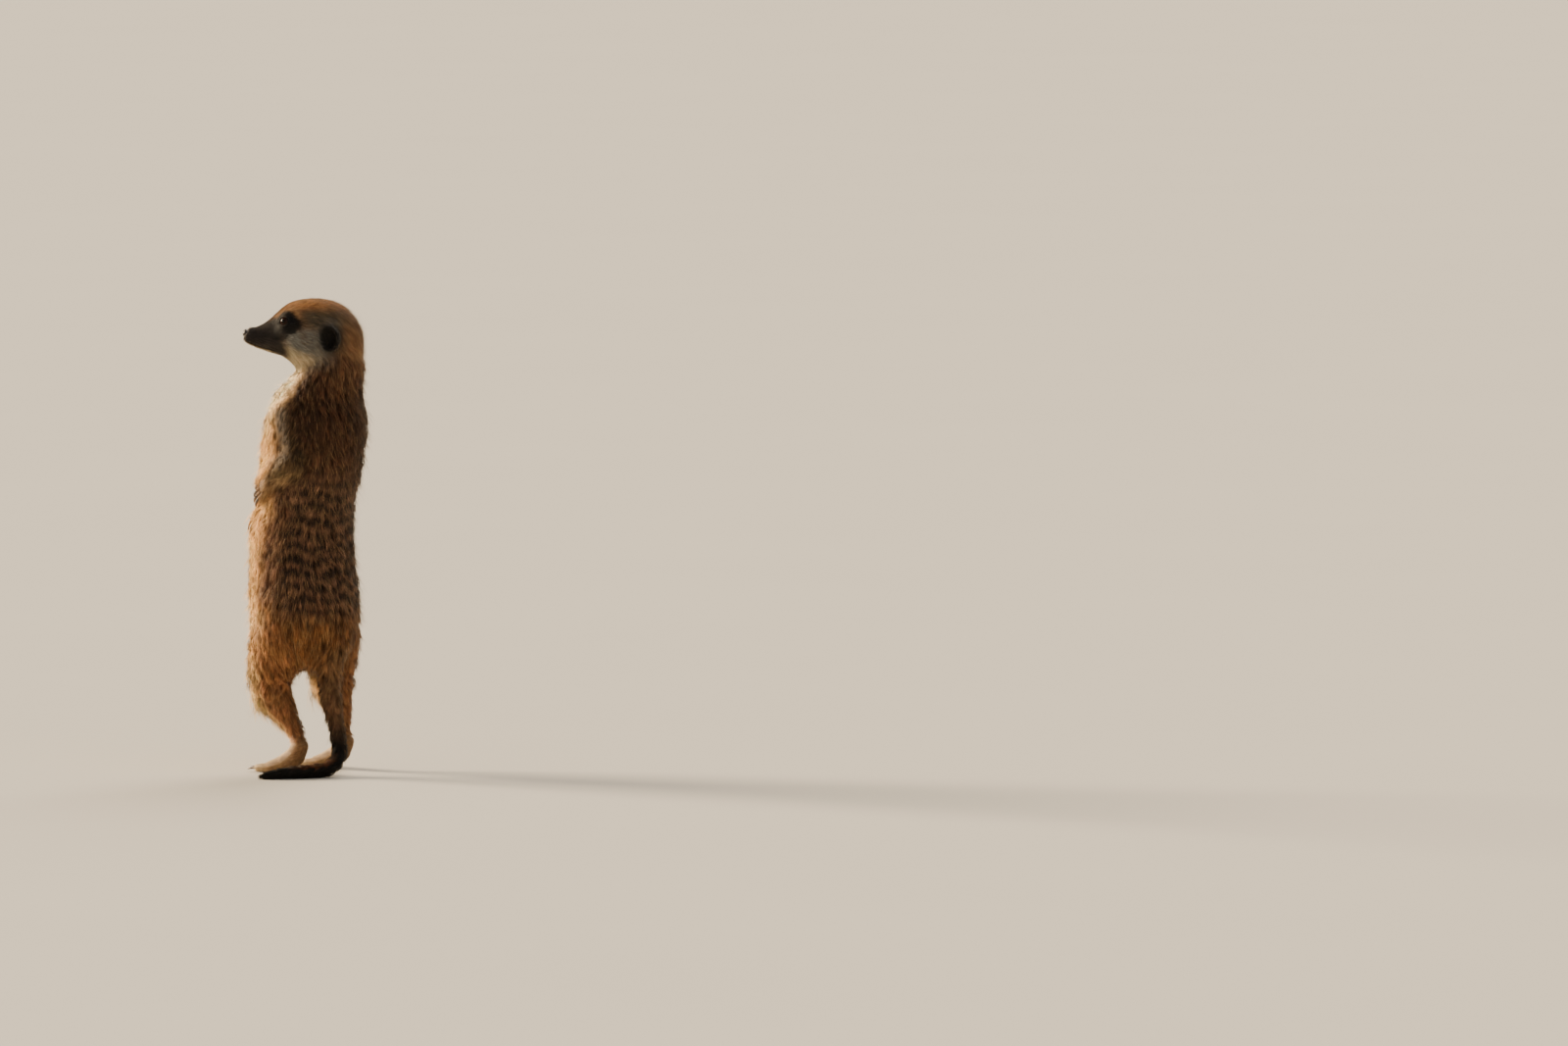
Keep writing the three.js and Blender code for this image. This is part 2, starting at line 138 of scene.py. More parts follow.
def roundTrunk(points):  # degrees round the trunk from the spine
    x = np.interp(points[:, 2], trunkMiddles[:, 2], trunkMiddles[:, 0])
    y = np.interp(points[:, 2], trunkMiddles[:, 2], trunkMiddles[:, 1])
    turn = np.interp(points[:, 2], twistHeights, twistTurns)
    angle = np.degrees(np.arctan2(points[:, 1] - y, points[:, 0] - x)) - 90 - turn
    return (angle + 180) % 360 - 180


# Camera, floor and light

def addObject(name, data):
    made = bpy.data.objects.new(name, data)
    bpy.context.scene.collection.objects.link(made)
    return made


view = {
    "side": 132.9,      # degrees round the animal: 0 is ahead of its hips, 90 on its left
    "height": 5.0,      # degrees above level
    "away": 8.3,        # metres
    "lens": 300.0,
    "sensor": 36.0,
    "right": 0.3039,    # metres from the animal's hips to the middle of the frame
    "up": 0.1572,
}


def placeCamera():
    side, height = np.radians(view["side"]), np.radians(view["height"])
    right = Vector((np.cos(side), np.sin(side), 0))
    towards = Vector((np.sin(side) * np.cos(height), -np.cos(side) * np.cos(height), np.sin(height)))
    target = Vector(floorPoint * mm) + right * view["right"] + towards.cross(right) * view["up"]
    data = bpy.data.cameras.new("camera")
    data.lens = view["lens"]
    data.sensor_width = view["sensor"]
    data.clip_end = 200  # metres, beyond the far edge of the floor
    camera = addObject("camera", data)
    camera.location = target + towards * view["away"]
    camera.rotation_euler = (-towards).to_track_quat("-Z", "Y").to_euler()
    bpy.context.scene.camera = camera


# Each lamp: degrees round and above the animal, strength, width of its disc in degrees, colour
lamps = {
    "windowLamp": (21, 18, 13.5, 22, (1.0, 0.80, 0.55)),
    "frontLamp": (75, 40, 0.3, 60, (1.0, 0.93, 0.85)),
    "backLamp": (168, 40, 0.5, 70, (0.94, 0.97, 1.0)),
    "farLamp": (290, 42, 3.4, 40, (1.0, 0.85, 0.68)),
}


def placeLamps():
    heart = Vector(middle("chest") * mm)
    away = 3  # metres, only to keep the lamps clear of the animal
    for name, (side, height, strength, wide, colour) in lamps.items():
        data = bpy.data.lights.new(name, "SUN")
        data.energy, data.angle, data.color = strength, np.radians(wide), colour
        lamp = addObject(name, data)
        side, height = np.radians(side), np.radians(height)
        reach = np.cos(height)
        offset = Vector((np.sin(side) * reach, -np.cos(side) * reach, np.sin(height)))
        lamp.location = heart + offset * away
        lamp.rotation_euler = (-offset).to_track_quat("-Z", "Y").to_euler()


# Short ways to put shader nodes together

def addNode(owner, kind, settings=None, inputs=None):  # the owner is a material or the world
    node = owner.node_tree.nodes.new(kind)
    for name, value in (settings or {}).items():
        setattr(node, name, value)
    for name, value in (inputs or {}).items():
        if isinstance(value, bpy.types.NodeSocket):
            owner.node_tree.links.new(value, node.inputs[name])
        else:
            node.inputs[name].default_value = value
    return node


def newMaterial(name, settings):  # settings hold what is the same all over the surface
    material = bpy.data.materials.new(name)
    material.use_nodes = True
    shader = material.node_tree.nodes["Principled BSDF"]
    for socket, value in settings.items():
        shader.inputs[socket].default_value = value
    return material, shader


def grainOf(material, size, detail=3.0, stretch=None):  # noise whose lumps are that many mm across
    place = addNode(material, "ShaderNodeTexCoord").outputs["Object"]
    if stretch:
        mapping = addNode(material, "ShaderNodeMapping", {}, {"Vector": place, "Scale": stretch})
        place = mapping.outputs["Vector"]
    return addNode(material, "ShaderNodeTexNoise", {}, {
        "Vector": place, "Scale": 1 / (size * mm), "Detail": detail}).outputs["Fac"]


def ranged(material, value, low, high, fromLow=0.3, fromHigh=0.7):
    return addNode(material, "ShaderNodeMapRange", {}, {
        "Value": value, "From Min": fromLow, "From Max": fromHigh,
        "To Min": low, "To Max": high}).outputs["Result"]


def dress(material, shader, colour, rough, relief, height, strength):  # what changes over the surface
    bump = addNode(material, "ShaderNodeBump", {}, {
        "Height": relief, "Distance": height * mm, "Strength": strength})
    for output, name in ((colour, "Base Color"), (rough, "Roughness"), (bump.outputs["Normal"], "Normal")):
        material.node_tree.links.new(output, shader.inputs[name])


def rampOf(material, value, stops):  # each stop is a place on the ramp and its colour
    ramp = addNode(material, "ShaderNodeValToRGB", {}, {"Fac": value})
    while len(ramp.color_ramp.elements) < len(stops):
        ramp.color_ramp.elements.new(0.5)
    for element, (place, colour) in zip(ramp.color_ramp.elements, stops):
        element.position = place
        element.color = (*linear(colour), 1)
    return ramp.outputs["Color"]


floorLook = {
    "colour": "bebab2",
    "across": 120.0,           # metres
    "patches": 260.0,          # mm across the faint patches
    "uneven": (0.992, 1.008),  # and how dark and light they are
    "roughness": (0.84, 0.9),
    "grit": 1.6,               # mm across the grit
    "gritHeight": 0.08,
}


def makeFloor():
    corners = floorLook["across"] / 2 * np.array([[-1, -1, 0], [1, -1, 0], [1, 1, 0], [-1, 1, 0]])
    mesh = bpy.data.meshes.new("floor")
    mesh.from_pydata(corners.tolist(), [], [(0, 1, 2, 3)])
    floor = addObject("floor", mesh)
    material, shader = newMaterial("paleFloor", {"Specular IOR Level": 0.0})
    base = (*linear(floorLook["colour"]), 1)
    shade = ranged(material, grainOf(material, floorLook["patches"]), *floorLook["uneven"])
    tone = addNode(material, "ShaderNodeHueSaturation", {}, {"Color": base, "Value": shade})
    rough = ranged(material, grainOf(material, floorLook["patches"] / 4), *floorLook["roughness"])
    grit = grainOf(material, floorLook["grit"])
    dress(material, shader, tone.outputs["Color"], rough, grit, floorLook["gritHeight"], 0.1)
    mesh.materials.append(material)


skyLook = {
    "overhead": 0.22, "tint": (1.0, 0.985, 0.965),  # strength and colour straight up
    "blend": 0.4,    # how high it blends into the floor's shade, as a share of straight up
    "match": 1.006,  # last touch, so that no line shows at the horizon
}


def farFloorShade():  # what the lit floor looks like from afar, so that the sky can meet it
    albedo = linear(floorLook["colour"])
    lit = sum(np.array(colour) * strength * np.sin(np.radians(height)) / np.pi
              for _, height, strength, _, colour in lamps.values())
    edge = skyLook["blend"] ** 2 / 3  # share of the floor's sky light that comes from near the horizon
    overhead = np.array(skyLook["tint"]) * skyLook["overhead"]
    return albedo * (lit + overhead * (1 - edge)) / (1 - albedo * edge) * skyLook["match"]


def makeSky():  # meets the far floor's shade at the horizon
    world = bpy.data.worlds.new("studio")
    bpy.context.scene.world = world
    world.use_nodes = True
    place = addNode(world, "ShaderNodeTexCoord").outputs["Generated"]
    height = addNode(world, "ShaderNodeSeparateXYZ", {}, {"Vector": place}).outputs["Z"]
    rise = addNode(world, "ShaderNodeMapRange", {}, {"Value": height, "From Max": skyLook["blend"]})
    overhead = np.array(skyLook["tint"]) * skyLook["overhead"]
    mix = addNode(world, "ShaderNodeMix", {"data_type": "RGBA"}, {
        0: rise.outputs["Result"], 6: (*farFloorShade(), 1), 7: (*overhead, 1)})
    world.node_tree.links.new(mix.outputs[2], world.node_tree.nodes["Background"].inputs["Color"])


placeCamera()
placeLamps()
makeFloor()
makeSky()
print("camera, lamps and floor placed")


# Short ways to read and write meshes

def newMesh(name, points, faces):  # points in mm, faces an array with the same number of corners in each
    mesh = bpy.data.meshes.new(name)
    faces = np.asarray(faces, np.int32)
    mesh.vertices.add(len(points))
    mesh.vertices.foreach_set("co", (np.asarray(points) * mm).astype(np.float32).ravel())
    mesh.loops.add(faces.size)
    mesh.loops.foreach_set("vertex_index", faces.ravel())
    mesh.polygons.add(len(faces))
    mesh.polygons.foreach_set("loop_start", np.arange(0, faces.size, faces.shape[1], dtype=np.int32))
    mesh.update(calc_edges=True)
    return mesh


def readMesh(mesh):  # its points in mm and its triangles
    mesh.calc_loop_triangles()
    points = np.empty(len(mesh.vertices) * 3, np.float32)
    mesh.vertices.foreach_get("co", points)
    triangles = np.empty(len(mesh.loop_triangles) * 3, np.int32)
    mesh.loop_triangles.foreach_get("vertices", triangles)
    return points.reshape(-1, 3).astype(float) / mm, triangles.reshape(-1, 3)


def readEdges(mesh):
    edges = np.empty(len(mesh.edges) * 2, np.int32)
    mesh.edges.foreach_get("vertices", edges)
    return edges.reshape(-1, 2)


def writePoints(mesh, points):
    mesh.vertices.foreach_set("co", (points * mm).astype(np.float32).ravel())
    mesh.update()


def writeColours(mesh, name, colours):
    layer = mesh.color_attributes.new(name, "FLOAT_COLOR", "POINT")
    full = np.ones((len(colours), 4), np.float32)
    full[:, :3] = colours
    layer.data.foreach_set("color", full.ravel())


def writeNumbers(mesh, name, values):
    layer = mesh.attributes.new(name, "FLOAT", "POINT")
    layer.data.foreach_set("value", np.asarray(values, np.float32))


def newPiece(mesh, material, slot):
    piece = addObject(mesh.name, mesh)
    mesh.materials.append(material)
    mesh.polygons.foreach_set("use_smooth", np.ones(len(mesh.polygons), bool))
    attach(piece, "root")
    return piece


def normalsOf(points, triangles):
    a, b, c = (points[triangles[:, k]] for k in range(3))
    facing = np.cross(b - a, c - a)
    total = np.zeros_like(points)
    for k in range(3):
        for axis in range(3):
            total[:, axis] += np.bincount(triangles[:, k], facing[:, axis], len(points))
    return unit(total)


def neighboursOf(count, edges):  # each point's neighbours, short rows filled up with the point itself
    ends = np.concatenate([edges, edges[:, ::-1]])
    ends = ends[np.argsort(ends[:, 0], kind="stable")]
    degree = np.bincount(ends[:, 0], minlength=count)
    first = np.cumsum(degree) - degree
    table = np.repeat(np.arange(count)[:, None], degree.max(), axis=1)
    table[ends[:, 0], np.arange(len(ends)) - first[ends[:, 0]]] = ends[:, 1]
    return table, degree


def spreadOut(values, neighbours, rounds, amount=0.5):  # evens values out over the surface
    table, degree = neighbours
    spare = (table.shape[1] - degree)[:, None]
    for _ in range(rounds):
        total = values[table[:, 0]]
        for k in range(1, table.shape[1]):
            total = total + values[table[:, k]]
        mean = (total - spare * values) / np.maximum(degree, 1)[:, None]
        values = values + (mean - values) * amount
    return values


# What each part of the body has: coat depth, hair length and hair width in mm, hairs to a square mm,
# how much its skin is rounded off, and the colour of its coat

coatTable = {
    "head": (1.6, 4.4, 0.21, 7.6, 0.45, "86664a"),
    "ear": (0.2, 0.8, 0.16, 6.5, 0.22, "0c0b0b"),
    "neck": (3.4, 8.0, 0.31, 2.7, 1.0, "65452c"),
    "chest": (4.0, 9.0, 0.32, 2.3, 1.0, "4d3220"),
    "abdomen": (4.0, 9.0, 0.33, 2.3, 1.0, "5c3c28"),
    "pelvis": (3.8, 8.6, 0.33, 2.35, 1.0, "6b4728"),
    "tail_base": (3.0, 7.0, 0.31, 2.5, 0.5, "6d5036"),
    "tail_upper": (2.2, 5.6, 0.29, 2.8, 0.4, "664a33"),
    "tail_lower": (1.6, 4.4, 0.26, 3.2, 0.3, "46301e"),
    "tail_tip": (1.1, 3.6, 0.25, 3.6, 0.2, "0f0d0c"),
    "upperarm": (2.6, 6.6, 0.30, 2.7, 0.7, "3d2d1c"),
    "forearm": (1.6, 4.6, 0.27, 3.2, 0.4, "58472f"),
    "forepaw": (0.6, 2.0, 0.17, 8.5, 0.05, "765c42"),
    "thigh": (3.4, 7.6, 0.32, 2.25, 0.9, "875a38"),
    "shank": (2.1, 5.2, 0.29, 2.75, 0.5, "835837"),
    "hindfoot": (0.7, 2.2, 0.18, 8.5, 0.05, "7e6142"),
}
fleshNodes = sorted(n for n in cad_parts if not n.startswith(("eye", "nose", "foreclaw", "hindclaw")))


def kindOf(node):
    return node.removesuffix("_left").removesuffix("_right")


tableOf = np.array([coatTable[kindOf(n)][:5] for n in fleshNodes])
colourOf = np.array([linear(coatTable[kindOf(n)][5]) for n in fleshNodes])
nodeIndex = {n: i for i, n in enumerate(fleshNodes)}


def shareOf(weights, *kinds):
    return sum(weights[:, i] for n, i in nodeIndex.items() if kindOf(n) in kinds)


# The skin: one surface over all the parts of flesh

skinLook = {
    "grown": 0.5,       # mm every part is grown so that neighbours join
    "grain": 0.98,      # mm between the skin's points
    "rounding": 70,     # rounds of smoothing
    "lid": 0.45,        # mm the eyelid stands off the eyeball
    "opening": (43, 31),  # half angles of the open eye, along and across
    "faceReach": 34,    # mm back from the nose that gets finer points
    "crease": 0.75,     # mm the line of the mouth is let in
    "toeGap": 1.3,      # mm the gaps between the toes are let in
    "nosePad": (4.2, 2.7, 3.3),  # mm half across, along and up the nose pad's own surface
    "fineToes": 11,     # mm round the claws that get finer points
    "letInSteps": 6,    # the skin is let in by the depth of the coat in so many steps
}


def bodyShell():  # all the flesh, both eyeballs and the nose, grown a little, as one set of triangles
    points, faces, owner, count = [], [], [], 0
    for node in [*fleshNodes, "eye_left", "eye_right", "nose"]:
        corners, triangles = readMesh(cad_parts[node].data)
        corners, back = np.unique(np.round(corners, 3), axis=0, return_inverse=True)
        triangles = back.ravel()[triangles]
        grown = corners + normalsOf(corners, triangles) * skinLook["grown"]
        points.append(grown)
        faces.append(triangles + count)
        owner += [nodeIndex.get(node, nodeIndex["head"])] * len(triangles)
        count += len(grown)
    return np.concatenate(points), np.concatenate(faces), np.array(owner)


def evenMesh(points, triangles):
    rough = addObject("rough", newMesh("rough", points, triangles))
    modifier = rough.modifiers.new("evenGrain", "REMESH")
    modifier.mode = "VOXEL"
    modifier.voxel_size = skinLook["grain"] * mm
    seen = bpy.context.evaluated_depsgraph_get()
    mesh = bpy.data.meshes.new_from_object(rough.evaluated_get(seen))
    bpy.data.objects.remove(rough)
    mesh.name = "skin"
    return mesh


def keepLargest(mesh):  # drops anything shut inside
    edges, count = readEdges(mesh), len(mesh.vertices)
    label, old = np.arange(count), None
    while old is None or (label != old).any():
        old = label.copy()
        low = np.minimum(label[edges[:, 0]], label[edges[:, 1]])
        np.minimum.at(label, edges[:, 0], low)
        np.minimum.at(label, edges[:, 1], low)
        label = label[label]
    keep = np.bincount(label).argmax()
    if (label != keep).any():
        work = bmesh.new()
        work.from_mesh(mesh)
        work.verts.ensure_lookup_table()
        bmesh.ops.delete(work, geom=[work.verts[i] for i in np.nonzero(label != keep)[0]], context="VERTS")
        work.to_mesh(mesh)
        work.free()


def finer(mesh, chosen):  # halves the edges whose ends are both chosen
    work = bmesh.new()
    work.from_mesh(mesh)
    edges = [e for e in work.edges if chosen[e.verts[0].index] and chosen[e.verts[1].index]]
    bmesh.ops.subdivide_edges(work, edges=edges, cuts=1, use_grid_fill=True)
    bmesh.ops.triangulate(work, faces=[f for f in work.faces if len(f.verts) > 4])
    work.to_mesh(mesh)
    work.free()


def weightsAt(points, shellTree, owner, neighbours, rounds):  # each part's share of every point
    nearest = [shellTree.find_nearest(p)[2] for p in points.tolist()]
    weights = np.eye(len(fleshNodes))[owner[np.array(nearest)]]
    return spreadOut(weights, neighbours, rounds)


def gazeOf(side):  # where an eye looks, and the directions along and across its opening
    sign = 1 if side == "left" else -1
    gaze = unit(headSide * 0.80 * sign - headBack * 0.56 + upward * 0.16)
    along = unit(headBack - gaze * (headBack @ gaze) + upward * 0.16)
    along = unit(along - gaze * (along @ gaze))
    return gaze, along, np.cross(gaze, along)


def openingAt(points, side):  # distance from the eye's middle, and place in the opening: 1 is its edge
    gaze, along, across = gazeOf(side)
    offset = points - eyeMiddles[side]
    reach = np.linalg.norm(offset, axis=1)
    line = offset / np.maximum(reach, 1e-9)[:, None]
    ahead = np.degrees(np.arctan2(line @ along, line @ gaze))
    rise = np.degrees(np.arctan2(line @ across, line @ gaze))
    wide, tall = skinLook["opening"]
    place = np.sqrt((ahead / wide) ** 2 + (rise / tall) ** 2)
    return reach, np.where(line @ gaze > 0, place, 9.0)


def eyeDistance(points):
    return np.minimum(*(np.linalg.norm(points - eyeMiddles[s], axis=1) for s in ("left", "right")))


def noseDistance(points):  # 1 on the nose pad's own surface
    side, back, up = inHead(points)
    wide, long, tall = skinLook["nosePad"]
    return np.sqrt((side / wide) ** 2 + ((back - noseReach) / long) ** 2 + ((up - noseDrop) / tall) ** 2)


# How the coat changes over the head and toes: where in mm, and by what share
coatChanges = {
    "muzzle": (4, 44),     # back from the nose tip, the coat grows to its full size between these
    "muzzleSize": 0.34,    # its size at the nose
    "muzzleWidth": 0.45,   # how far the width of the hairs follows that
    "closer": 0.5,         # more hairs on the muzzle
    "eyelid": (0.6, 8),    # off the eyeball
    "eyelidDepth": 0.6,    # less deep and less long at the eyelids
    "eyelidLength": 0.5,
    "nape": (48, 66),      # back from the nose tip
    "napeDepth": 0.9,
    "napeLength": 0.7,
    "toes": (11, 4),       # from the roots of the claws
    "toeSize": 0.4,        # smaller there
}


def coatSizes(points, weights):  # depth, length, width and number of hairs at each point
    sizes = weights @ tableOf[:, :4]
    _, back, _ = inHead(points)
    head = shareOf(weights, "head")
    least = coatChanges["muzzleSize"]
    reach = 1 - head * (1 - (least + (1 - least) * ease(*coatChanges["muzzle"], back)))
    lidFrom, lidTo = coatChanges["eyelid"]
    atEye = 1 - ease(eyeRadius + lidFrom, eyeRadius + lidTo, eyeDistance(points))
    sizes[:, 0] *= reach * (1 - coatChanges["eyelidDepth"] * atEye)
    sizes[:, 1] *= reach * (1 - coatChanges["eyelidLength"] * atEye)
    sizes[:, 2] *= 1 - coatChanges["muzzleWidth"] * (1 - reach)
    sizes[:, 3] *= 1 + coatChanges["closer"] * head * (1 - ease(8, 40, back))
    nape = head * ease(*coatChanges["nape"], back)
    sizes[:, 0] *= 1 + coatChanges["napeDepth"] * nape
    sizes[:, 1] *= 1 + coatChanges["napeLength"] * nape
    onToes = shareOf(weights, "forepaw", "hindfoot") * ease(*coatChanges["toes"], clawDistance(points))
    sizes[:, :3] *= 1 - coatChanges["toeSize"] * onToes[:, None]
    return sizes


# Soft swellings of the face: to the side, back and up in the head, their reach and their height
faceForms = {
    "brow": ((11.5, 28, 15.0), (5, 7, 3.0), 0.9),
    "cheek": ((19, 42, -9), (8, 9, 8), 0.9),
    "whiskerPad": ((6.6, 9.5, -4.2), (4, 6, 3), 0.8),
    "eyeHollow": ((9.5, 20.0, 5.5), (4, 5, 4), -0.7),
    "temple": ((19, 40, 9), (6, 6, 5), -0.6),
    "chin": ((0, 6.5, -8.2), (5, 5, 2.5), 0.5),
}
# The line of the mouth seen from the side: mm back from the nose tip and above it
mouthLine = np.array([(3.4, -4.6), (7, -6.4), (12, -8.0), (17, -9.2), (22, -10.4), (26, -11.6)])


def mouthDistance(points):  # mm above the line of the mouth, seen from the side, and its strength
    _, back, up = inHead(points)
    return up - np.interp(back, mouthLine[:, 0], mouthLine[:, 1]), between(2.6, 22.5, 1.6, back)


def clawEnds(node, pawMiddle):  # a claw's own corners, the middle of its root and its tip
    corners, _ = readMesh(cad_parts[node].data)
    corners = np.unique(np.round(corners, 3), axis=0)
    order = np.linalg.norm(corners - pawMiddle, axis=1).argsort()
    return corners, corners[order[:6]].mean(0), corners[order[-1]]


paws = {}  # the claw roots, claw tips and side-to-side line of each paw
for pawNode in ("forepaw_left", "forepaw_right", "hindfoot_left", "hindfoot_right"):
    clawName = pawNode.replace("forepaw", "foreclaw").replace("hindfoot", "hindclaw")
    ends = [clawEnds(f"{clawName}_{k}", middle(pawNode)) for k in range(1, 5)]
    roots, tips = np.array([e[1] for e in ends]), np.array([e[2] for e in ends])
    paws[pawNode] = roots, tips, unit(roots[3] - roots[0])


def toeGaps(points):  # 1 along the middle of each gap between two toes, 0 away from them
    gap = np.zeros(len(points))
    for roots, tips, across in paws.values():
        for k in range(3):
            start = (roots[k] + roots[k + 1]) / 2
            ahead = unit((tips[k] + tips[k + 1]) / 2 - start)
            offset = points - start
            behind = -offset @ ahead
            apart = np.linalg.norm(offset + behind[:, None] * ahead, axis=1)
            shape = np.exp(-((offset @ across) / 0.8) ** 2) * between(-1.6, 8.0, 1.4, behind)
            gap = np.maximum(gap, shape * ease(7, 5, apart))
    return gap


def clawDistance(points):
    everyRoot = np.concatenate([roots for roots, _, _ in paws.values()])
    return np.linalg.norm(points[:, None] - everyRoot, axis=2).min(1)


def shapePaws(points, normals, weights):
    toes = shareOf(weights, "forepaw", "hindfoot") * toeGaps(points)
    return points - normals * (toes * skinLook["toeGap"])[:, None]


def shapeFace(points, normals, weights):
    side, back, up = inHead(points)
    head = shareOf(weights, "head")
    place = np.stack([np.abs(side), back, up], 1)
    for centre, reach, height in faceForms.values():
        lump = np.exp(-(((place - np.array(centre)) / np.array(reach)) ** 2).sum(1))
        points = points + normals * (lump * height * head)[:, None]
    above, strength = mouthDistance(points)
    crease = np.exp(-(above / 0.55) ** 2) - 0.35 * np.exp(-((above + 1.3) / 0.8) ** 2)
    points = points - normals * (crease * strength * skinLook["crease"] * head)[:, None]
    for eye in ("left", "right"):
        reach, place = openingAt(points, eye)
        line = (points - eyeMiddles[eye]) / np.maximum(reach, 1e-9)[:, None]
        lid = eyeRadius + skinLook["lid"] + 0.25 * np.exp(-((place - 1.12) / 0.14) ** 2)
        near = ease(eyeRadius + 4.5, eyeRadius + 1.5, reach)
        wanted = reach + (np.maximum(lid, reach) - reach) * near
        hug = ease(2.1, 1.15, place) * near
        wanted = wanted + (lid - wanted) * hug
        wanted = np.where((place < 1) & (near > 0), eyeRadius - 1.3, wanted)
        points = eyeMiddles[eye] + line * wanted[:, None]
    pad = noseDistance(points)  # behind the nose pad the skin goes inside it
    tucked = ease(1.15, 1.05, pad)
    return noseMiddle + (points - noseMiddle) * (1 - tucked * (1 - 0.86 / np.maximum(pad, 0.86)))[:, None]


def roundingAt(points, weights):  # how much the skin is rounded off, and not at all at the eyes
    byPart = (weights @ tableOf[:, 4])[:, None]
    return byPart * ease(eyeRadius + 1.0, eyeRadius + 4, eyeDistance(points))[:, None]


def roundOff(points, neighbours, rounds, amount):
    return points + (spreadOut(points, neighbours, rounds, 1.0) - points) * amount * 0.5


def addFinePoints(mesh, points, weights):  # on the face and toes, and finest round the eyes
    _, back, _ = inHead(points)
    face = (back < skinLook["faceReach"]) & (shareOf(weights, "head") > 0.5)
    toes = (shareOf(weights, "forepaw", "hindfoot") > 0.5) & (clawDistance(points) < skinLook["fineToes"])
    finer(mesh, face | toes)
    points, _ = readMesh(mesh)
    _, back, up = inHead(points)
    nearMouth = (np.abs(mouthDistance(points)[0]) < 2.4) & (back < 26) & (up < -2)
    finer(mesh, (eyeDistance(points) < eyeRadius + 2.2) | nearMouth)
    points, _ = readMesh(mesh)
    finer(mesh, eyeDistance(points) < eyeRadius + 1.0)


def letIn(points, triangles, neighbours, weights):  # by the depth of the coat, a little at a time
    before, gentle = points, roundingAt(points, weights)
    depth = coatSizes(points, weights)[:, 0] + skinLook["grown"] * 0.8
    depth *= ease(eyeRadius + 0.3, eyeRadius + 3.0, eyeDistance(points))
    depth *= 0.3 + 0.7 * ease(1.2, 2.4, noseDistance(points))
    steps = skinLook["letInSteps"]
    for _ in range(steps):
        points = points - normalsOf(points, triangles) * (depth / steps)[:, None]
        points = roundOff(points, neighbours, 2, gentle)
    onFloor = ease(2.4, 0.6, before[:, 2])  # the soles stay on the floor
    points[:, 2] += (before[:, 2] - points[:, 2]) * onFloor
    return points


def makeSkin():
    shell, shellFaces, owner = bodyShell()
    shellTree = BVHTree.FromPolygons(shell.tolist(), shellFaces.tolist())
    mesh = evenMesh(shell, shellFaces)
    keepLargest(mesh)
    points, _ = readMesh(mesh)
    neighbours = neighboursOf(len(points), readEdges(mesh))
    weights = weightsAt(points, shellTree, owner, neighbours, 14)
    rounding = roundingAt(points, weights)
    rounding *= 0.12 + 0.88 * ease(1.2, 3.2, noseDistance(points))[:, None]
    for _ in range(skinLook["rounding"]):
        points = roundOff(points, neighbours, 1, rounding)
    writePoints(mesh, points)
    print("skin joined:", len(points), "points")

    addFinePoints(mesh, points, weights)
    points, triangles = readMesh(mesh)
    neighbours = neighboursOf(len(points), readEdges(mesh))
    weights = weightsAt(points, shellTree, owner, neighbours, 20)
    points = letIn(points, triangles, neighbours, weights)
    points = shapeFace(points, normalsOf(points, triangles), weights)
    points = shapePaws(points, normalsOf(points, triangles), weights)
    points[:, 2] = np.maximum(points[:, 2], 0.0)
    writePoints(mesh, points)
    return mesh, points, triangles, neighbours, weights


skinMesh, skinPoints, skinTriangles, skinNeighbours, skinWeights = makeSkin()
skinNormals = normalsOf(skinPoints, skinTriangles)
print("skin shaped:", len(skinPoints), "points,", len(skinTriangles), "triangles")


# The markings, the same for skin and coat

markings = {
    "barPitch": 8.1,        # mm from one dark bar of the back to the next
    "barWave": 3.4,         # mm the bars wander
    "barReach": (62, 92),   # degrees from the spine where the bars fade
    "eyePatchAt": (27.5, 6.4),      # mm back and up in the head, then half its length and height
    "eyePatchSize": (10.7, 5.8),
    "eyePatchTurn": 8,              # degrees
    "tearAt": (23.5, 0.4),          # where the patch runs down towards the mouth
    "tearSize": (5.2, 4.0),
    "earSize": (6.6, 8.8),          # mm half across and half up the black of an ear
    "bar": "0c0604",
    "betweenBars": "7b5d48",
    "shoulder": "3a2416",
    "belly": "dba465",
    "throat": "f2dab0",
    "crown": "b47a44",
    "crownSide": "403f36",
    "forehead": "ad7f54",
    "cheek": "6c6e6a",
    "eyePatch": "08080a",
    "muzzle": "1c1d21",
    "lip": "cfbf9f",
    "mouthStripe": "17130f",
    "cheekStreak": "54432f",
    "nape": "6d4c34",
    "earRim": "5d564c",
    "armEdge": "d2b184",
    "shinFront": "e9bf86",
    "innerLeg": "a98257",
    "tailBlack": "0c0a09",
    "toes": "dcc39c",
    # The toe gap colour is painted shade in the creases between the toes
    "toeGap": "4a3524",
    "tailTop": "5c3319",
    "earBlack": "0c0b0b",
    "runTogether": 50,      # rounds of blurring between the parts' own colours
}
shades = {name: linear(value) for name, value in markings.items() if isinstance(value, str)}


regionKinds = {
    "head": ("head", "ear"), "trunk": ("pelvis", "abdomen", "chest", "neck"),
    "arms": ("upperarm", "forearm", "forepaw"), "legs": ("thigh", "shank"), "feet": ("hindfoot",),
    "tail": ("tail_base", "tail_upper", "tail_lower", "tail_tip"), "ears": ("ear",)}


def paintGuides(weights, neighbours):  # base colour and shares of the regions, run softly into each other
    ears = shareOf(weights, "ear")
    regions = np.stack([shareOf(weights, *kinds) for kinds in regionKinds.values()], 1)
    soft = spreadOut(np.concatenate([weights @ colourOf, regions], 1), neighbours, markings["runTogether"])
    soft[:, -1] = ears
    return soft


def inOval(back, up, size):  # 0 in the middle of an oval, 1 on its edge
    return np.hypot(back / size[0], up / size[1])


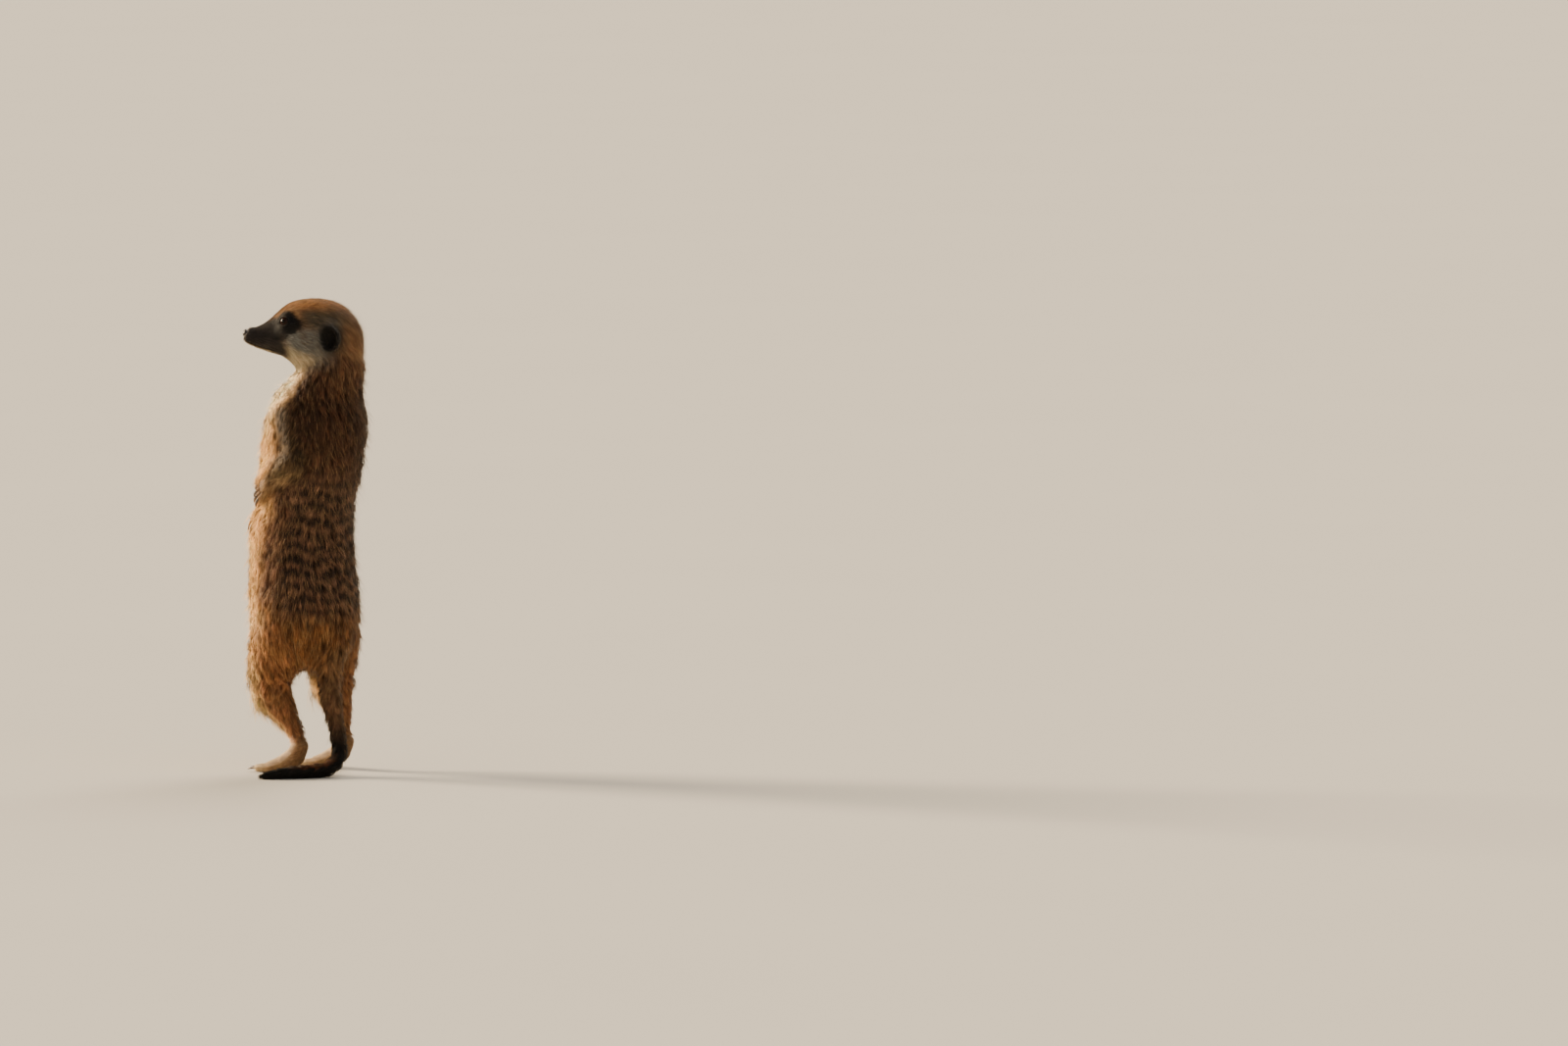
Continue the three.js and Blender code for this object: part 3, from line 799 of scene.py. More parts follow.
def measure(points, normals, guides):  # what the rules below go by, at each point
    side, back, up = inHead(points)
    return SimpleNamespace(
        points=points, normals=normals, back=back, up=up, wide=np.abs(side),
        height=points[:, 2], angle=np.abs(roundTrunk(points)),
        wander=(softNoise(points, 13) - 0.5) * 14, fine=(softNoise(points, 3.5, 5.3) - 0.5) * 3,
        **dict(zip(regionKinds, guides[:, 3:].T)))


# Each rule gives a shade and how strongly it covers what is there. The pairs in ease() say where it starts
# and where it is whole: mm from a landmark or the nose tip, degrees from the spine, or how far a place
# faces one way

def trunkRules(at):  # dark shoulders, barred back, pale front
    points, height, angle, wander = at.points, at.height, at.angle, at.wander
    both = at.trunk + at.head
    mantle = ease(chestLow + 14, chestLow + 48, height) * ease(neckHigh + 16, neckHigh - 12, height)
    yield "shoulder", both * mantle * 0.9
    onNape = between(neckLow + 8, crownHigh - 14, 12, height) * ease(85, 40, angle)
    yield "nape", both * onNape * 0.6
    barsEnd, barsWhole = markings["barReach"][::-1]
    barZone = between(bellyLow - 14, chestLow + 24, 9, height) * ease(barsEnd, barsWhole, angle + wander)
    yield "betweenBars", at.trunk * barZone * (0.45 + 0.5 * softNoise(points, 7, 2.2))
    waved = height + (softNoise(points * [1, 1, 0.5], 9, 3.1) - 0.5) * 2 * markings["barWave"]
    waved = waved + np.cos(np.radians(angle) * 1.4) * 2.0 + at.fine * 0.4
    bar = ease(-0.7, 0.05, np.cos(waved * 2 * np.pi / markings["barPitch"]))
    broken = ease(0.08, 0.26, softNoise(points * [1, 1, 1.3], 5.5, 9.7))
    yield "bar", at.trunk * barZone * bar * broken * 0.94
    atNeck = ease(neckLow - 24, neckLow + 10, height)
    front = ease(88, 118, angle + wander * 0.8 - 12 * atNeck) * (at.trunk + at.head * ease(-14, -26, at.up))
    yield "belly", front * 0.95
    yield "throat", front * ease(neckLow - 34, neckLow + 6, height) * 0.8
    yield "shinFront", front * ease(bellyLow + 6, bellyLow - 30, height) * 0.6


def armRules(at):  # paler below, and the upper arm in front
    yield "armEdge", at.arms * ease(0.5, 0.95, -at.normals[:, 2]) * 0.9
    upperArm = ease(elbowHeight, elbowHeight + 14, at.height)
    yield "armEdge", at.arms * ease(0.35, 0.85, -at.normals[:, 1]) * upperArm * 0.75


def legRules(at):  # pale in front and inside, pale toes; faces turned forward and up are partly painted light, toe gaps painted shade
    x, y, z = at.normals.T
    # The pale fronts below are partly the legs' own colour and partly painted light on faces turned
    # forward, sideways and up
    ahead = -y * 0.9 + np.abs(x) * 0.35 + np.maximum(z, 0) * 0.25
    yield "belly", at.legs * ease(0.25, 0.8, ahead) * ease(112, 84, at.height) * 0.7
    yield "shinFront", at.legs * ease(0.2, 0.7, ahead) * ease(78, 56, at.height)
    inward = np.sign(floorPoint[0] - at.points[:, 0]) * x
    yield "innerLeg", at.legs * ease(0.3, 0.9, inward) * 0.6
    # Forward toes are pale in their own colour; the paleness on faces turned forward and up is painted
    # light
    paleToesAndLitFaces = np.maximum(ease(-4, -18, at.points[:, 1]) * 0.7, ease(0.4, 0.9, ahead) * 0.85)
    yield "toes", at.feet * paleToesAndLitFaces
    # Painted shade darkens the creases between the toes
    yield "toeGap", (at.feet + at.arms) * toeGaps(at.points) * 0.75


def tailRules(at):  # black where it lies on the floor
    tailLine = unit(middle("tail_tip") - middle("tail_lower"))
    along, bend = at.points @ tailLine, middle("tail_lower") @ tailLine
    onTop = ease(0.45, 0.85, at.normals[:, 2]) * ease(bend + 30, bend + 14, along) * ease(20, 12, at.height)
    yield "tailBlack", at.tail * ease(42, 16, at.height + at.wander * 0.3)
    yield "tailTop", at.tail * onTop * 0.75


def headRules(at):
    head, back, up, wander = at.head, at.back, at.up, at.wander
    yield "nape", head * ease(56, 72, back) * ease(-26, -8, up) * 0.75
    yield "crown", head * ease(13, 21, up) * 0.9
    yield "forehead", head * ease(6, 14, up) * between(20, 34, 6, back) * 0.7
    besideCrown = between(4.5, 15.5, 3.2, up + wander * 0.15) * ease(33, 43, back) * ease(72, 60, back)
    yield "crownSide", head * besideCrown * 0.85
    onCheek = ease(7.5, 1.5, up + at.fine * 0.6) * ease(-27, -16, up + wander * 0.3)
    yield "cheek", head * between(25, 57, 6, back + at.fine) * onCheek * 0.92
    yield "throat", head * ease(0.15, 0.8, -at.normals[:, 2]) * between(14, 44, 7, back) * 0.85


def muzzleRules(at):
    head, back, up = at.head, at.back, at.up
    slant = back + np.clip(up, -14, 4) * 0.42 + ease(7, 3, at.wide) * 5
    yield "muzzle", head * ease(26.5, 21.0, slant + at.fine * 0.5) * ease(15, 10, up) * 0.95
    above, _ = mouthDistance(at.points)
    yield "lip", head * ease(-0.1, -2.2, above) * ease(24, 15, back) * 0.92
    yield "mouthStripe", head * np.exp(-((above - 0.6) / 1.6) ** 2) * between(16.5, 28.0, 1.2, back) * 0.95
    yield "mouthStripe", head * np.exp(-((above - 0.15) / 0.5) ** 2) * ease(22, 17, back) * 0.9
    yield "cheekStreak", head * between(37.3, 39.6, 0.7, back) * between(-5.5, 2.0, 1.2, up) * 0.7


def eyePatchRules(at):
    turned = np.radians(markings["eyePatchTurn"])
    patchBack, patchUp = markings["eyePatchAt"]
    offBack, offUp = at.back - patchBack, at.up - patchUp
    along = offBack * np.cos(turned) + offUp * np.sin(turned)
    over = offUp * np.cos(turned) - offBack * np.sin(turned)
    patch = ease(1.12, 0.88, inOval(along, over, markings["eyePatchSize"]) + at.fine * 0.03)
    tearBack, tearUp = markings["tearAt"]
    tear = ease(1.15, 0.8, inOval(at.back - tearBack, at.up - tearUp, markings["tearSize"]))
    yield "eyePatch", at.head * np.maximum(patch, tear * 0.9) * ease(3.5, 6.5, at.wide) * 0.97
    yield "eyePatch", at.head * ease(eyeRadius + 3.4, eyeRadius + 1.9, eyeDistance(at.points)) * 0.97


def earRules(at):  # black cups with a paler rim of hair round them
    earHeart = (middle("ear_left") + middle("ear_right")) / 2
    earBack, earUp = (earHeart - noseTip) @ headBack, earHeart[2] - noseTip[2]
    inEar = inOval(at.back - earBack, at.up - earUp, markings["earSize"])
    onSide = ease(12, 16, at.wide)
    yield "earRim", (1 - at.ears) * at.head * between(1.0, 1.45, 0.12, inEar) * onSide * 0.6
    yield "earBlack", np.maximum(at.ears, ease(1.1, 0.92, inEar) * onSide)


allRules = trunkRules, armRules, legRules, tailRules, headRules, muzzleRules, eyePatchRules, earRules


def paint(points, normals, guides):
    at, colour = measure(points, normals, guides), guides[:, :3]
    for rules in allRules:
        for name, amount in rules(at):
            colour = colour + (shades[name] - colour) * np.clip(amount, 0, 1)[:, None]
    return np.clip(colour, 0.002, 1)


skinGuides = paintGuides(skinWeights, skinNeighbours)
skinColours = paint(skinPoints, skinNormals, skinGuides)
# The skin is painted at 0.72 of the coat's colour: painted shade between the hairs
writeColours(skinMesh, "coatColour", skinColours * 0.72)


def furMaterial(name, look):
    material, shader = newMaterial(name, {
        "Specular IOR Level": look["shine"], "Sheen Weight": look["sheen"],
        "Sheen Roughness": 0.5, "Sheen Tint": (1.0, 0.86, 0.70, 1.0)})
    painted = addNode(material, "ShaderNodeAttribute", {"attribute_name": "coatColour"}).outputs["Color"]
    patches = ranged(material, grainOf(material, look["patch"]), 1 - look["uneven"], 1 + look["uneven"])
    hue = ranged(material, grainOf(material, look["patch"] * 2.3), 0.494, 0.506)
    tone = addNode(material, "ShaderNodeHueSaturation", {}, {
        "Color": painted, "Value": patches, "Hue": hue, "Saturation": look["richness"]})
    rough = ranged(material, grainOf(material, look["patch"] / 3), *look["roughness"])
    strands = grainOf(material, look["strand"], 2.0, look["stretch"])
    dress(material, shader, tone.outputs["Color"], rough, strands, look["relief"], 0.6)
    return material


downLook = {
    "shine": 0.15, "sheen": 0.05, "patch": 5.0, "uneven": 0.16, "richness": 1.0,
    "roughness": (0.62, 0.82), "strand": 0.5, "relief": 0.12, "stretch": (1.0, 1.0, 0.6),
}
skin = newPiece(skinMesh, furMaterial("shortCoat", downLook), "body_coat")
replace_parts(skin, *fleshNodes)
print("skin painted")


# The lie of the coat

def directionOf(start, end):
    return unit(middle(end) - middle(start))


def lieOfNodes():
    down = np.array([0.0, 0.0, -1.0])
    lie = {node: down for node in fleshNodes}
    ahead = np.array([0.0, -1.0, 0.0])
    tailNodes = "tail_base", "tail_upper", "tail_lower", "tail_tip"
    first, second, third = (directionOf(tailNodes[k], tailNodes[k + 1]) for k in range(3))
    lie["tail_base"], lie["tail_tip"] = first, third
    lie["tail_upper"] = unit(first + second)
    lie["tail_lower"] = unit(second * 0.4 + third)
    for side in ("left", "right"):
        lie["upperarm_" + side] = unit(down + directionOf("upperarm_" + side, "forearm_" + side) * 0.5)
        lie["forearm_" + side] = directionOf("upperarm_" + side, "forepaw_" + side)
        lie["forepaw_" + side] = directionOf("forearm_" + side, "foreclaw_" + side + "_2")
        lie["thigh_" + side] = unit(down - ahead * 0.15)
        lie["shank_" + side] = unit(down - ahead * 0.3)
        lie["hindfoot_" + side] = unit(ahead + down * 0.25)
        lie["ear_" + side] = unit(headBack + upward * 0.3)
    return np.array([lie[node] for node in fleshNodes])


def lieOfCoat(points, normals, weights):
    _, back, up = inHead(points)
    lie = weights @ lieOfNodes()
    head = shareOf(weights, "head")[:, None]
    fall = ease(34, 66, back)[:, None] * 1.3 + 0.12
    overHead = unit(headBack * np.ones((len(points), 1)) - upward * fall)
    lie = lie * (1 - head) + overHead * head
    sway = np.stack([softNoise(points, 15, k * 7.7) - 0.5 for k in range(3)], 1)
    lie = lie + sway * 0.45
    lie = spreadOut(alongSurface(lie, normals), skinNeighbours, 6)
    return alongSurface(lie, normals)


skinLie = lieOfCoat(skinPoints, skinNormals, skinWeights)
skinSizes = coatSizes(skinPoints, skinWeights)
skinTree = BVHTree.FromPolygons(skinPoints.tolist(), skinTriangles.tolist())


# Where the hairs grow, and their shape and colour

coatLook = {
    "tilt": 0.10,       # how far single hairs stray from the lie
    "lockTilt": 0.13,   # and whole locks
    "perLock": 15,      # hairs in a lock
    "gather": 0.75,     # how far the tips of a lock draw together
    "lockLift": 0.28,   # how unevenly locks stand up
    "lockContrast": 0.27,
    "strays": 0.13,     # share of longer hairs that stand out
    "strayLift": 1.95,  # how far they stand out beside the others
    "strayLength": 1.3,
    "leastLift": 0.35,  # mm every hair stands off the skin at least
    "earLift": 0.12,    # and on the ears
    "softness": 0.62,   # how far a hair is lit as the body under it is
    "strayPale": 0.55,  # how far their tips go towards a pale colour
    "strayColour": "dcb684",
    # Darker roots are partly the hair's own banding and partly painted shade deep in the coat
    "rootShade": 0.58,  # how bright the roots and tips are beside the middle
    "shortRootShade": 0.8,
    "tipShade": 1.12,
    "darkTips": 0.16,   # share of hairs with a dark tip
    "paleTips": 0.22,   # and with a pale one
}


def hairless(points):  # places where no hair grows: the nose pad, eyelid edges and eyeballs
    bare = noseDistance(points) < 1.10
    for side in ("left", "right"):
        reach, place = openingAt(points, side)
        bare |= (reach < eyeRadius + 1.6) & (place < 1.22)
        bare |= reach < eyeRadius - 0.4
    return bare | (points[:, 2] < 0.35)


shortKinds = "head", "ear", "forepaw", "hindfoot"  # their hairs are plain three-sided spikes


def seedHairs():
    a, b, c = (skinPoints[skinTriangles[:, k]] for k in range(3))
    area = np.linalg.norm(np.cross(b - a, c - a), axis=1) / 2
    density = skinSizes[skinTriangles, 3].mean(1)
    wanted = area * density
    number = np.floor(wanted + rng.random(len(wanted))).astype(int)
    triangle = np.repeat(np.arange(len(wanted)), number)
    r, s = rng.random(len(triangle)), rng.random(len(triangle))
    flip = r + s > 1
    r[flip], s[flip] = 1 - r[flip], 1 - s[flip]
    mix = np.stack([1 - r - s, r, s], 1)
    corners = skinTriangles[triangle]

    def blend(values):
        return (values[corners] * mix[:, :, None]).sum(1)

    hairs = {
        "triangle": triangle, "mix": mix,
        "root": blend(skinPoints), "normal": unit(blend(skinNormals)),
        "lie": blend(skinLie), "sizes": blend(skinSizes), "weights": blend(skinWeights),
        "guides": blend(skinGuides),
    }
    keep = ~hairless(hairs["root"])
    hairs = {key: value[keep] for key, value in hairs.items()}
    hairs["kind"] = np.array([kindOf(n) for n in fleshNodes])[hairs["weights"].argmax(1)]
    hairs["short"] = np.isin(hairs["kind"], shortKinds)
    return hairs


def gatherLocks(hairs):  # which lock each hair belongs to, and the way to the lock's middle
    roots = hairs["root"]
    chosen = np.sort(rng.choice(len(roots), int(len(roots) / coatLook["perLock"]), replace=False))
    tree = KDTree(len(chosen))
    for i, place in enumerate(roots[chosen].tolist()):
        tree.insert(place, i)
    tree.balance()
    lock = np.array([tree.find(place)[1] for place in roots.tolist()])
    return lock, roots[chosen][lock] - roots, len(chosen)


def onSkin(points, limit):  # the nearest places on the skin, and whether they are close enough to use
    found = [skinTree.find_nearest(p) for p in points.tolist()]
    place = np.array([f[0] for f in found])
    triangle = np.array([f[2] for f in found])
    facing = unit(skinNormals[skinTriangles[triangle]].mean(1))
    return place, facing, np.linalg.norm(place - points, axis=1) < limit


def growHairs(hairs):  # seven points for each hair: three at the root, three half way and its tip
    root, normal, lie = hairs["root"], hairs["normal"], hairs["lie"]
    depth, length, width = hairs["sizes"][:, 0], hairs["sizes"][:, 1], hairs["sizes"][:, 2]
    count = len(root)
    lock, inward, lockCount = gatherLocks(hairs)
    turned = rng.normal(size=(lockCount, 3))[lock] * coatLook["lockTilt"]
    lie = unit(lie + turned + rng.normal(size=(count, 3)) * coatLook["tilt"])
    lie = alongSurface(lie, normal)
    shin = shareOf(hairs["weights"], "shank", "thigh") * ease(0.1, 0.6, -normal[:, 1])
    shin = shin * between(28, 64, 9, root[:, 2])
    stray = rng.random(count) < (coatLook["strays"] + 0.3 * shin) * ease(0.8, 2.6, depth * (1 + 0.5 * shin))
    hairs["stray"] = stray
    hairs["lockShade"] = rng.normal(size=lockCount)[lock]
    uneven = coatLook["lockLift"] * np.where(hairs["short"], 0.4, 1.0)
    depth = depth * (1 + uneven * rng.normal(size=lockCount)[lock].clip(-1.5, 1.5))
    depth = depth * (1 + 0.5 * shin)
    length = length * (1 + 0.7 * shin)
    length = length * rng.uniform(0.75, 1.15, count) * np.where(stray, coatLook["strayLength"], 1)
    lift = depth * rng.uniform(0.5, 1.0, count) * np.where(stray, coatLook["strayLift"], 1)
    width = width * rng.uniform(0.75, 1.25, count) * np.where(stray, 0.6, 1)

    def stage(share, height):  # the hair's middle line that far along it, over the skin below
        aim = root + lie * (length * share)[:, None] + inward * (coatLook["gather"] * share)
        place, facing, near = onSkin(aim, length * 0.4)
        base = np.where(near[:, None], place, aim)
        facing = np.where(near[:, None], facing, normal)
        return base + facing * height[:, None], facing

    lift = np.maximum(lift, np.where(hairs["kind"] == "ear", coatLook["earLift"], coatLook["leastLift"]))
    half, halfRise = stage(0.5, lift * np.where(stray, 0.62, 0.9))
    tip, tipRise = stage(1.0, lift * rng.uniform(0.85, 1.15, count))
    start = root - normal * np.where(hairs["short"], 0.0, 0.3)[:, None]
    across = unit(np.cross(unit(half - root), normal))
    ring = np.empty((count, 7, 3))
    rootSize = np.where(hairs["short"], 0.95, 0.6)
    for k, (middlePoint, size, facing) in enumerate(((start, rootSize, normal), (half, 1.0, halfRise))):
        w = (width * size)[:, None]
        ring[:, k * 3 + 0] = middlePoint - across * w * 0.5 + facing * w * 0.12
        ring[:, k * 3 + 1] = middlePoint + across * w * 0.5 + facing * w * 0.12
        ring[:, k * 3 + 2] = middlePoint - facing * w * 0.38
    ring[:, 6] = tip
    ring[:, :, 2] = np.maximum(ring[:, :, 2], 0.05)
    soft = coatLook["softness"]
    shine = np.empty_like(ring)
    for k, facing in enumerate((normal, halfRise)):
        for j, own in enumerate((-across + facing * 0.6, across + facing * 0.6, facing * 0.4)):
            shine[:, k * 3 + j] = unit(unit(own) * (1 - soft) + facing * soft)
    shine[:, 6] = tipRise
    return ring, shine


def colourHairs(hairs, ring):
    count = len(ring)
    places = hairs["root"], ring[:, 3:6].mean(1), ring[:, 6]
    bases = [paint(place, hairs["normal"], hairs["guides"]) for place in places]
    grizzled = "abdomen", "pelvis", "chest", "neck", "thigh", "head", "upperarm", "forearm"
    grizzle = shareOf(hairs["weights"], *grizzled)
    brightness = np.clip(bases[2].mean(1) / 0.04, 0, 1)
    draw = rng.random(count)
    tip = np.full(count, coatLook["tipShade"])
    tip = np.where(draw < coatLook["darkTips"] * grizzle * brightness, 0.42, tip)
    tip = np.where(draw > 1 - coatLook["paleTips"] * grizzle * brightness, 2.1, tip)
    each = rng.uniform(0.75, 1.25, count) * (0.75 + 0.5 * softNoise(hairs["root"] * [1, 1, 0.6], 3.2, 1.9))
    contrast = coatLook["lockContrast"] * (0.35 + 0.65 * ease(0.8, 3.2, hairs["sizes"][:, 0]))
    each = each * np.exp(hairs["lockShade"].clip(-1.8, 1.8) * contrast)
    # The darker roots are partly the hair's own banding and partly painted shade deep in the coat
    rootShade = np.where(hairs["short"], coatLook["shortRootShade"], coatLook["rootShade"])
    level = np.stack([rootShade, np.ones(count), tip], 1) * each[:, None]
    stages = np.stack(bases, 1) * level[:, :, None]
    pale = np.where(hairs["stray"], coatLook["strayPale"] * brightness, 0.0)[:, None]
    stages[:, 2] += (linear(coatLook["strayColour"]) - stages[:, 2]) * pale
    return np.clip(np.repeat(stages, (3, 3, 1), axis=1), 0.001, 0.95)


hairs = seedHairs()
hairRings, hairNormals = growHairs(hairs)
hairColours = colourHairs(hairs, hairRings)
print("hairs grown:", len(hairRings))


# The coat's pieces, each small enough to handle by itself

sideOfHead, backOfHead, _ = inHead(hairs["root"])
angleOfHair = np.abs(roundTrunk(hairs["root"]))
leftOfHair = hairs["root"][:, 0] > floorPoint[0]


def isKind(*kinds):
    return np.isin(hairs["kind"], kinds)


coatPieces = {
    "coatFaceLeft": (isKind("head", "ear") & (sideOfHead > 0) & (backOfHead < 40), "head_coat"),
    "coatFaceRight": (isKind("head", "ear") & (sideOfHead <= 0) & (backOfHead < 40), "head_coat"),
    "coatCrownLeft": (isKind("head", "ear") & (sideOfHead > 0) & (backOfHead >= 40), "head_coat"),
    "coatCrownRight": (isKind("head", "ear") & (sideOfHead <= 0) & (backOfHead >= 40), "head_coat"),
    "coatNeck": (isKind("neck"), "body_coat"),
    "coatShoulders": (isKind("chest") & (angleOfHair < 90), "body_coat"),
    "coatChest": (isKind("chest") & (angleOfHair >= 90), "body_coat"),
    "coatBack": (isKind("abdomen") & (angleOfHair < 90), "body_coat"),
    "coatBelly": (isKind("abdomen") & (angleOfHair >= 90), "body_coat"),
    "coatRump": (isKind("pelvis") & (angleOfHair < 90), "body_coat"),
    "coatLap": (isKind("pelvis") & (angleOfHair >= 90), "body_coat"),
    "coatArmLeft": (isKind("upperarm", "forearm") & leftOfHair, "body_coat"),
    "coatArmRight": (isKind("upperarm", "forearm") & ~leftOfHair, "body_coat"),
    "coatHands": (isKind("forepaw"), "body_coat"),
    "coatLegLeft": (isKind("thigh", "shank") & leftOfHair, "body_coat"),
    "coatLegRight": (isKind("thigh", "shank") & ~leftOfHair, "body_coat"),
    "coatFeet": (isKind("hindfoot"), "body_coat"),
    "coatTail": (isKind("tail_base", "tail_upper", "tail_lower", "tail_tip"), "body_coat"),
}
hairFaces = np.array([
    (0, 2, 1), (0, 1, 4), (0, 4, 3), (1, 2, 5), (1, 5, 4),
    (2, 0, 3), (2, 3, 5), (3, 4, 6), (4, 5, 6), (5, 3, 6)])
shortFaces = np.array([(0, 2, 1), (0, 1, 3), (1, 2, 3), (2, 0, 3)])
patchSize = 0.003  # how wide each hair's own patch is on its piece's colour map
patchCorners = patchSize * np.array([
    (-0.5, -0.5), (0.5, -0.5), (0.0, -0.7), (-0.5, 0.1), (0.5, 0.1), (0.0, -0.1), (0.0, 0.5)])


def unwrapUnder(chosen):  # a map of the skin under one coat piece, and each hair's place on it
    used, slot = np.unique(hairs["triangle"][chosen], return_inverse=True)
    corners, faces = np.unique(skinTriangles[used], return_inverse=True)
    cloth = addObject("cloth", newMesh("cloth", skinPoints[corners], faces.reshape(-1, 3)))
    bpy.context.view_layer.objects.active = cloth
    cloth.select_set(True)
    bpy.ops.object.mode_set(mode="EDIT")
    bpy.ops.mesh.select_all(action="SELECT")
    bpy.ops.uv.smart_project(angle_limit=1.2, island_margin=0.004, scale_to_bounds=True)
    bpy.ops.object.mode_set(mode="OBJECT")
    flat = np.empty(len(cloth.data.loops) * 2, np.float32)
    cloth.data.uv_layers.active.uv.foreach_get("vector", flat)
    flat = flat.reshape(-1, 3, 2)
    bpy.data.objects.remove(cloth)
    return (flat[slot.ravel()] * hairs["mix"][chosen][:, :, None]).sum(1)


def makeCoatPiece(name, chosen, slot, material):
    chosen = np.nonzero(chosen)[0]
    count = len(chosen)
    short = hairs["short"][chosen].all()
    corners = [0, 1, 2, 6] if short else list(range(7))
    pattern = shortFaces if short else hairFaces
    faces = (pattern[None] + len(corners) * np.arange(count)[:, None, None]).reshape(-1, 3)
    mesh = newMesh(name, hairRings[chosen][:, corners].reshape(-1, 3), faces)
    writeColours(mesh, "coatColour", hairColours[chosen][:, corners].reshape(-1, 3))
    place = np.clip(unwrapUnder(chosen), patchSize, 1 - patchSize)
    patches = (place[:, None, :] + patchCorners[None, corners]).reshape(-1, 2)
    layer = mesh.uv_layers.new(name="OFBake")
    layer.uv.foreach_set("vector", patches[faces.ravel()].astype(np.float32).ravel())
    piece = newPiece(mesh, material, slot)
    mesh.normals_split_custom_set_from_vertices(hairNormals[chosen][:, corners].reshape(-1, 3))
    return piece


hairLook = {
    "shine": 0.16, "sheen": 0.1, "patch": 4.0, "uneven": 0.1, "richness": 1.02,
    "roughness": (0.5, 0.7), "strand": 0.3, "relief": 0.05, "stretch": (1.0, 1.0, 0.3),
}
hairMaterial = furMaterial("coatHair", hairLook)
for pieceName, (chosenHairs, pieceSlot) in coatPieces.items():
    made = makeCoatPiece(pieceName, chosenHairs, pieceSlot, hairMaterial)
    print(pieceName, len(made.data.polygons), "triangles")


# The eyes

eyeLook = {
    "pupil": 14, "iris": 37,  # degrees from the middle of the pupil to their edges
    "cornea": 0.45,           # mm it bulges
    "pupilColour": "020202", "irisColour": "1c0c05", "irisEdge": "0a0503", "white": "0e0806",
}


def ballMesh(columns, rows):  # a closed ball of radius 1: its points and triangles
    angles = np.linspace(0, np.pi, rows + 1)[1:-1]
    turns = np.arange(columns) / columns * 2 * np.pi
    ring = np.stack([np.cos(turns), np.sin(turns), np.zeros(columns)], 1)
    rings = [ring * np.sin(a) + np.array([0, 0, np.cos(a)]) for a in angles]
    points = np.concatenate([np.array([[0, 0, 1.0]]), *rings, np.array([[0, 0, -1.0]])])
    faces = []
    for i in range(columns):
        j = (i + 1) % columns
        faces.append((0, 1 + i, 1 + j))
        for r in range(rows - 2):
            a, b = 1 + r * columns + i, 1 + r * columns + j
            faces += [(a, a + columns, b + columns), (a, b + columns, b)]
        last = 1 + (rows - 2) * columns
        faces.append((last + i, len(points) - 1, last + j))
    return points, np.array(faces)


def eyeMaterial():
    material, shader = newMaterial("wetEye", {
        "Coat Weight": 0.05, "Coat Roughness": 0.03, "IOR": 1.36, "Specular IOR Level": 0.15})
    turn = addNode(material, "ShaderNodeAttribute", {"attribute_name": "fromGaze"}).outputs["Fac"]
    fibres = grainOf(material, 0.35, 4.0)
    frayed = addNode(material, "ShaderNodeMath", {"operation": "MULTIPLY_ADD"}, {
        0: fibres, 1: 5.0, 2: turn})
    whole = 60  # degrees the ramp goes over
    spread = addNode(material, "ShaderNodeMapRange", {}, {
        "Value": frayed.outputs["Value"], "From Min": 2.5, "From Max": 2.5 + whole})
    pupil, iris = eyeLook["pupil"] / whole, eyeLook["iris"] / whole
    colour = rampOf(material, spread.outputs["Result"], [
        (0.0, eyeLook["pupilColour"]), (pupil - 0.02, eyeLook["pupilColour"]),
        (pupil + 0.03, eyeLook["irisColour"]), (iris - 0.06, eyeLook["irisColour"]),
        (iris, eyeLook["irisEdge"]), (0.75, eyeLook["white"])])
    dress(material, shader, colour, ranged(material, fibres, 0.06, 0.14), fibres, 0.03, 0.2)
    return material


wetEye = eyeMaterial()
for eyeSide in ("left", "right"):
    gaze, along, across = gazeOf(eyeSide)
    ball, ballFaces = ballMesh(48, 32)
    turn = np.degrees(np.arccos(np.clip(ball[:, 2], -1, 1)))
    bulge = eyeLook["cornea"] * ease(44, 12, turn)
    eyePoints = ball @ np.stack([along, across, gaze]) * (eyeRadius + bulge)[:, None] + eyeMiddles[eyeSide]
    pieceName = "eyeball" + eyeSide.capitalize()
    eyeMesh = newMesh(pieceName, eyePoints, ballFaces)
    writeNumbers(eyeMesh, "fromGaze", turn)
    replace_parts(newPiece(eyeMesh, wetEye, "eye"), "eye_" + eyeSide)
print("eyes made")


# The nose pad

noseLook = {
    "radii": (4.0, 2.9, 3.2),  # mm half across, along and up
    "nostril": 1.9,            # mm deep
    "slit": 0.7,
    "groove": 0.5,
    "cell": 0.5,               # mm across the pattern of the leather
    "colour": "120e0f", "paleColour": "241b1b",
}


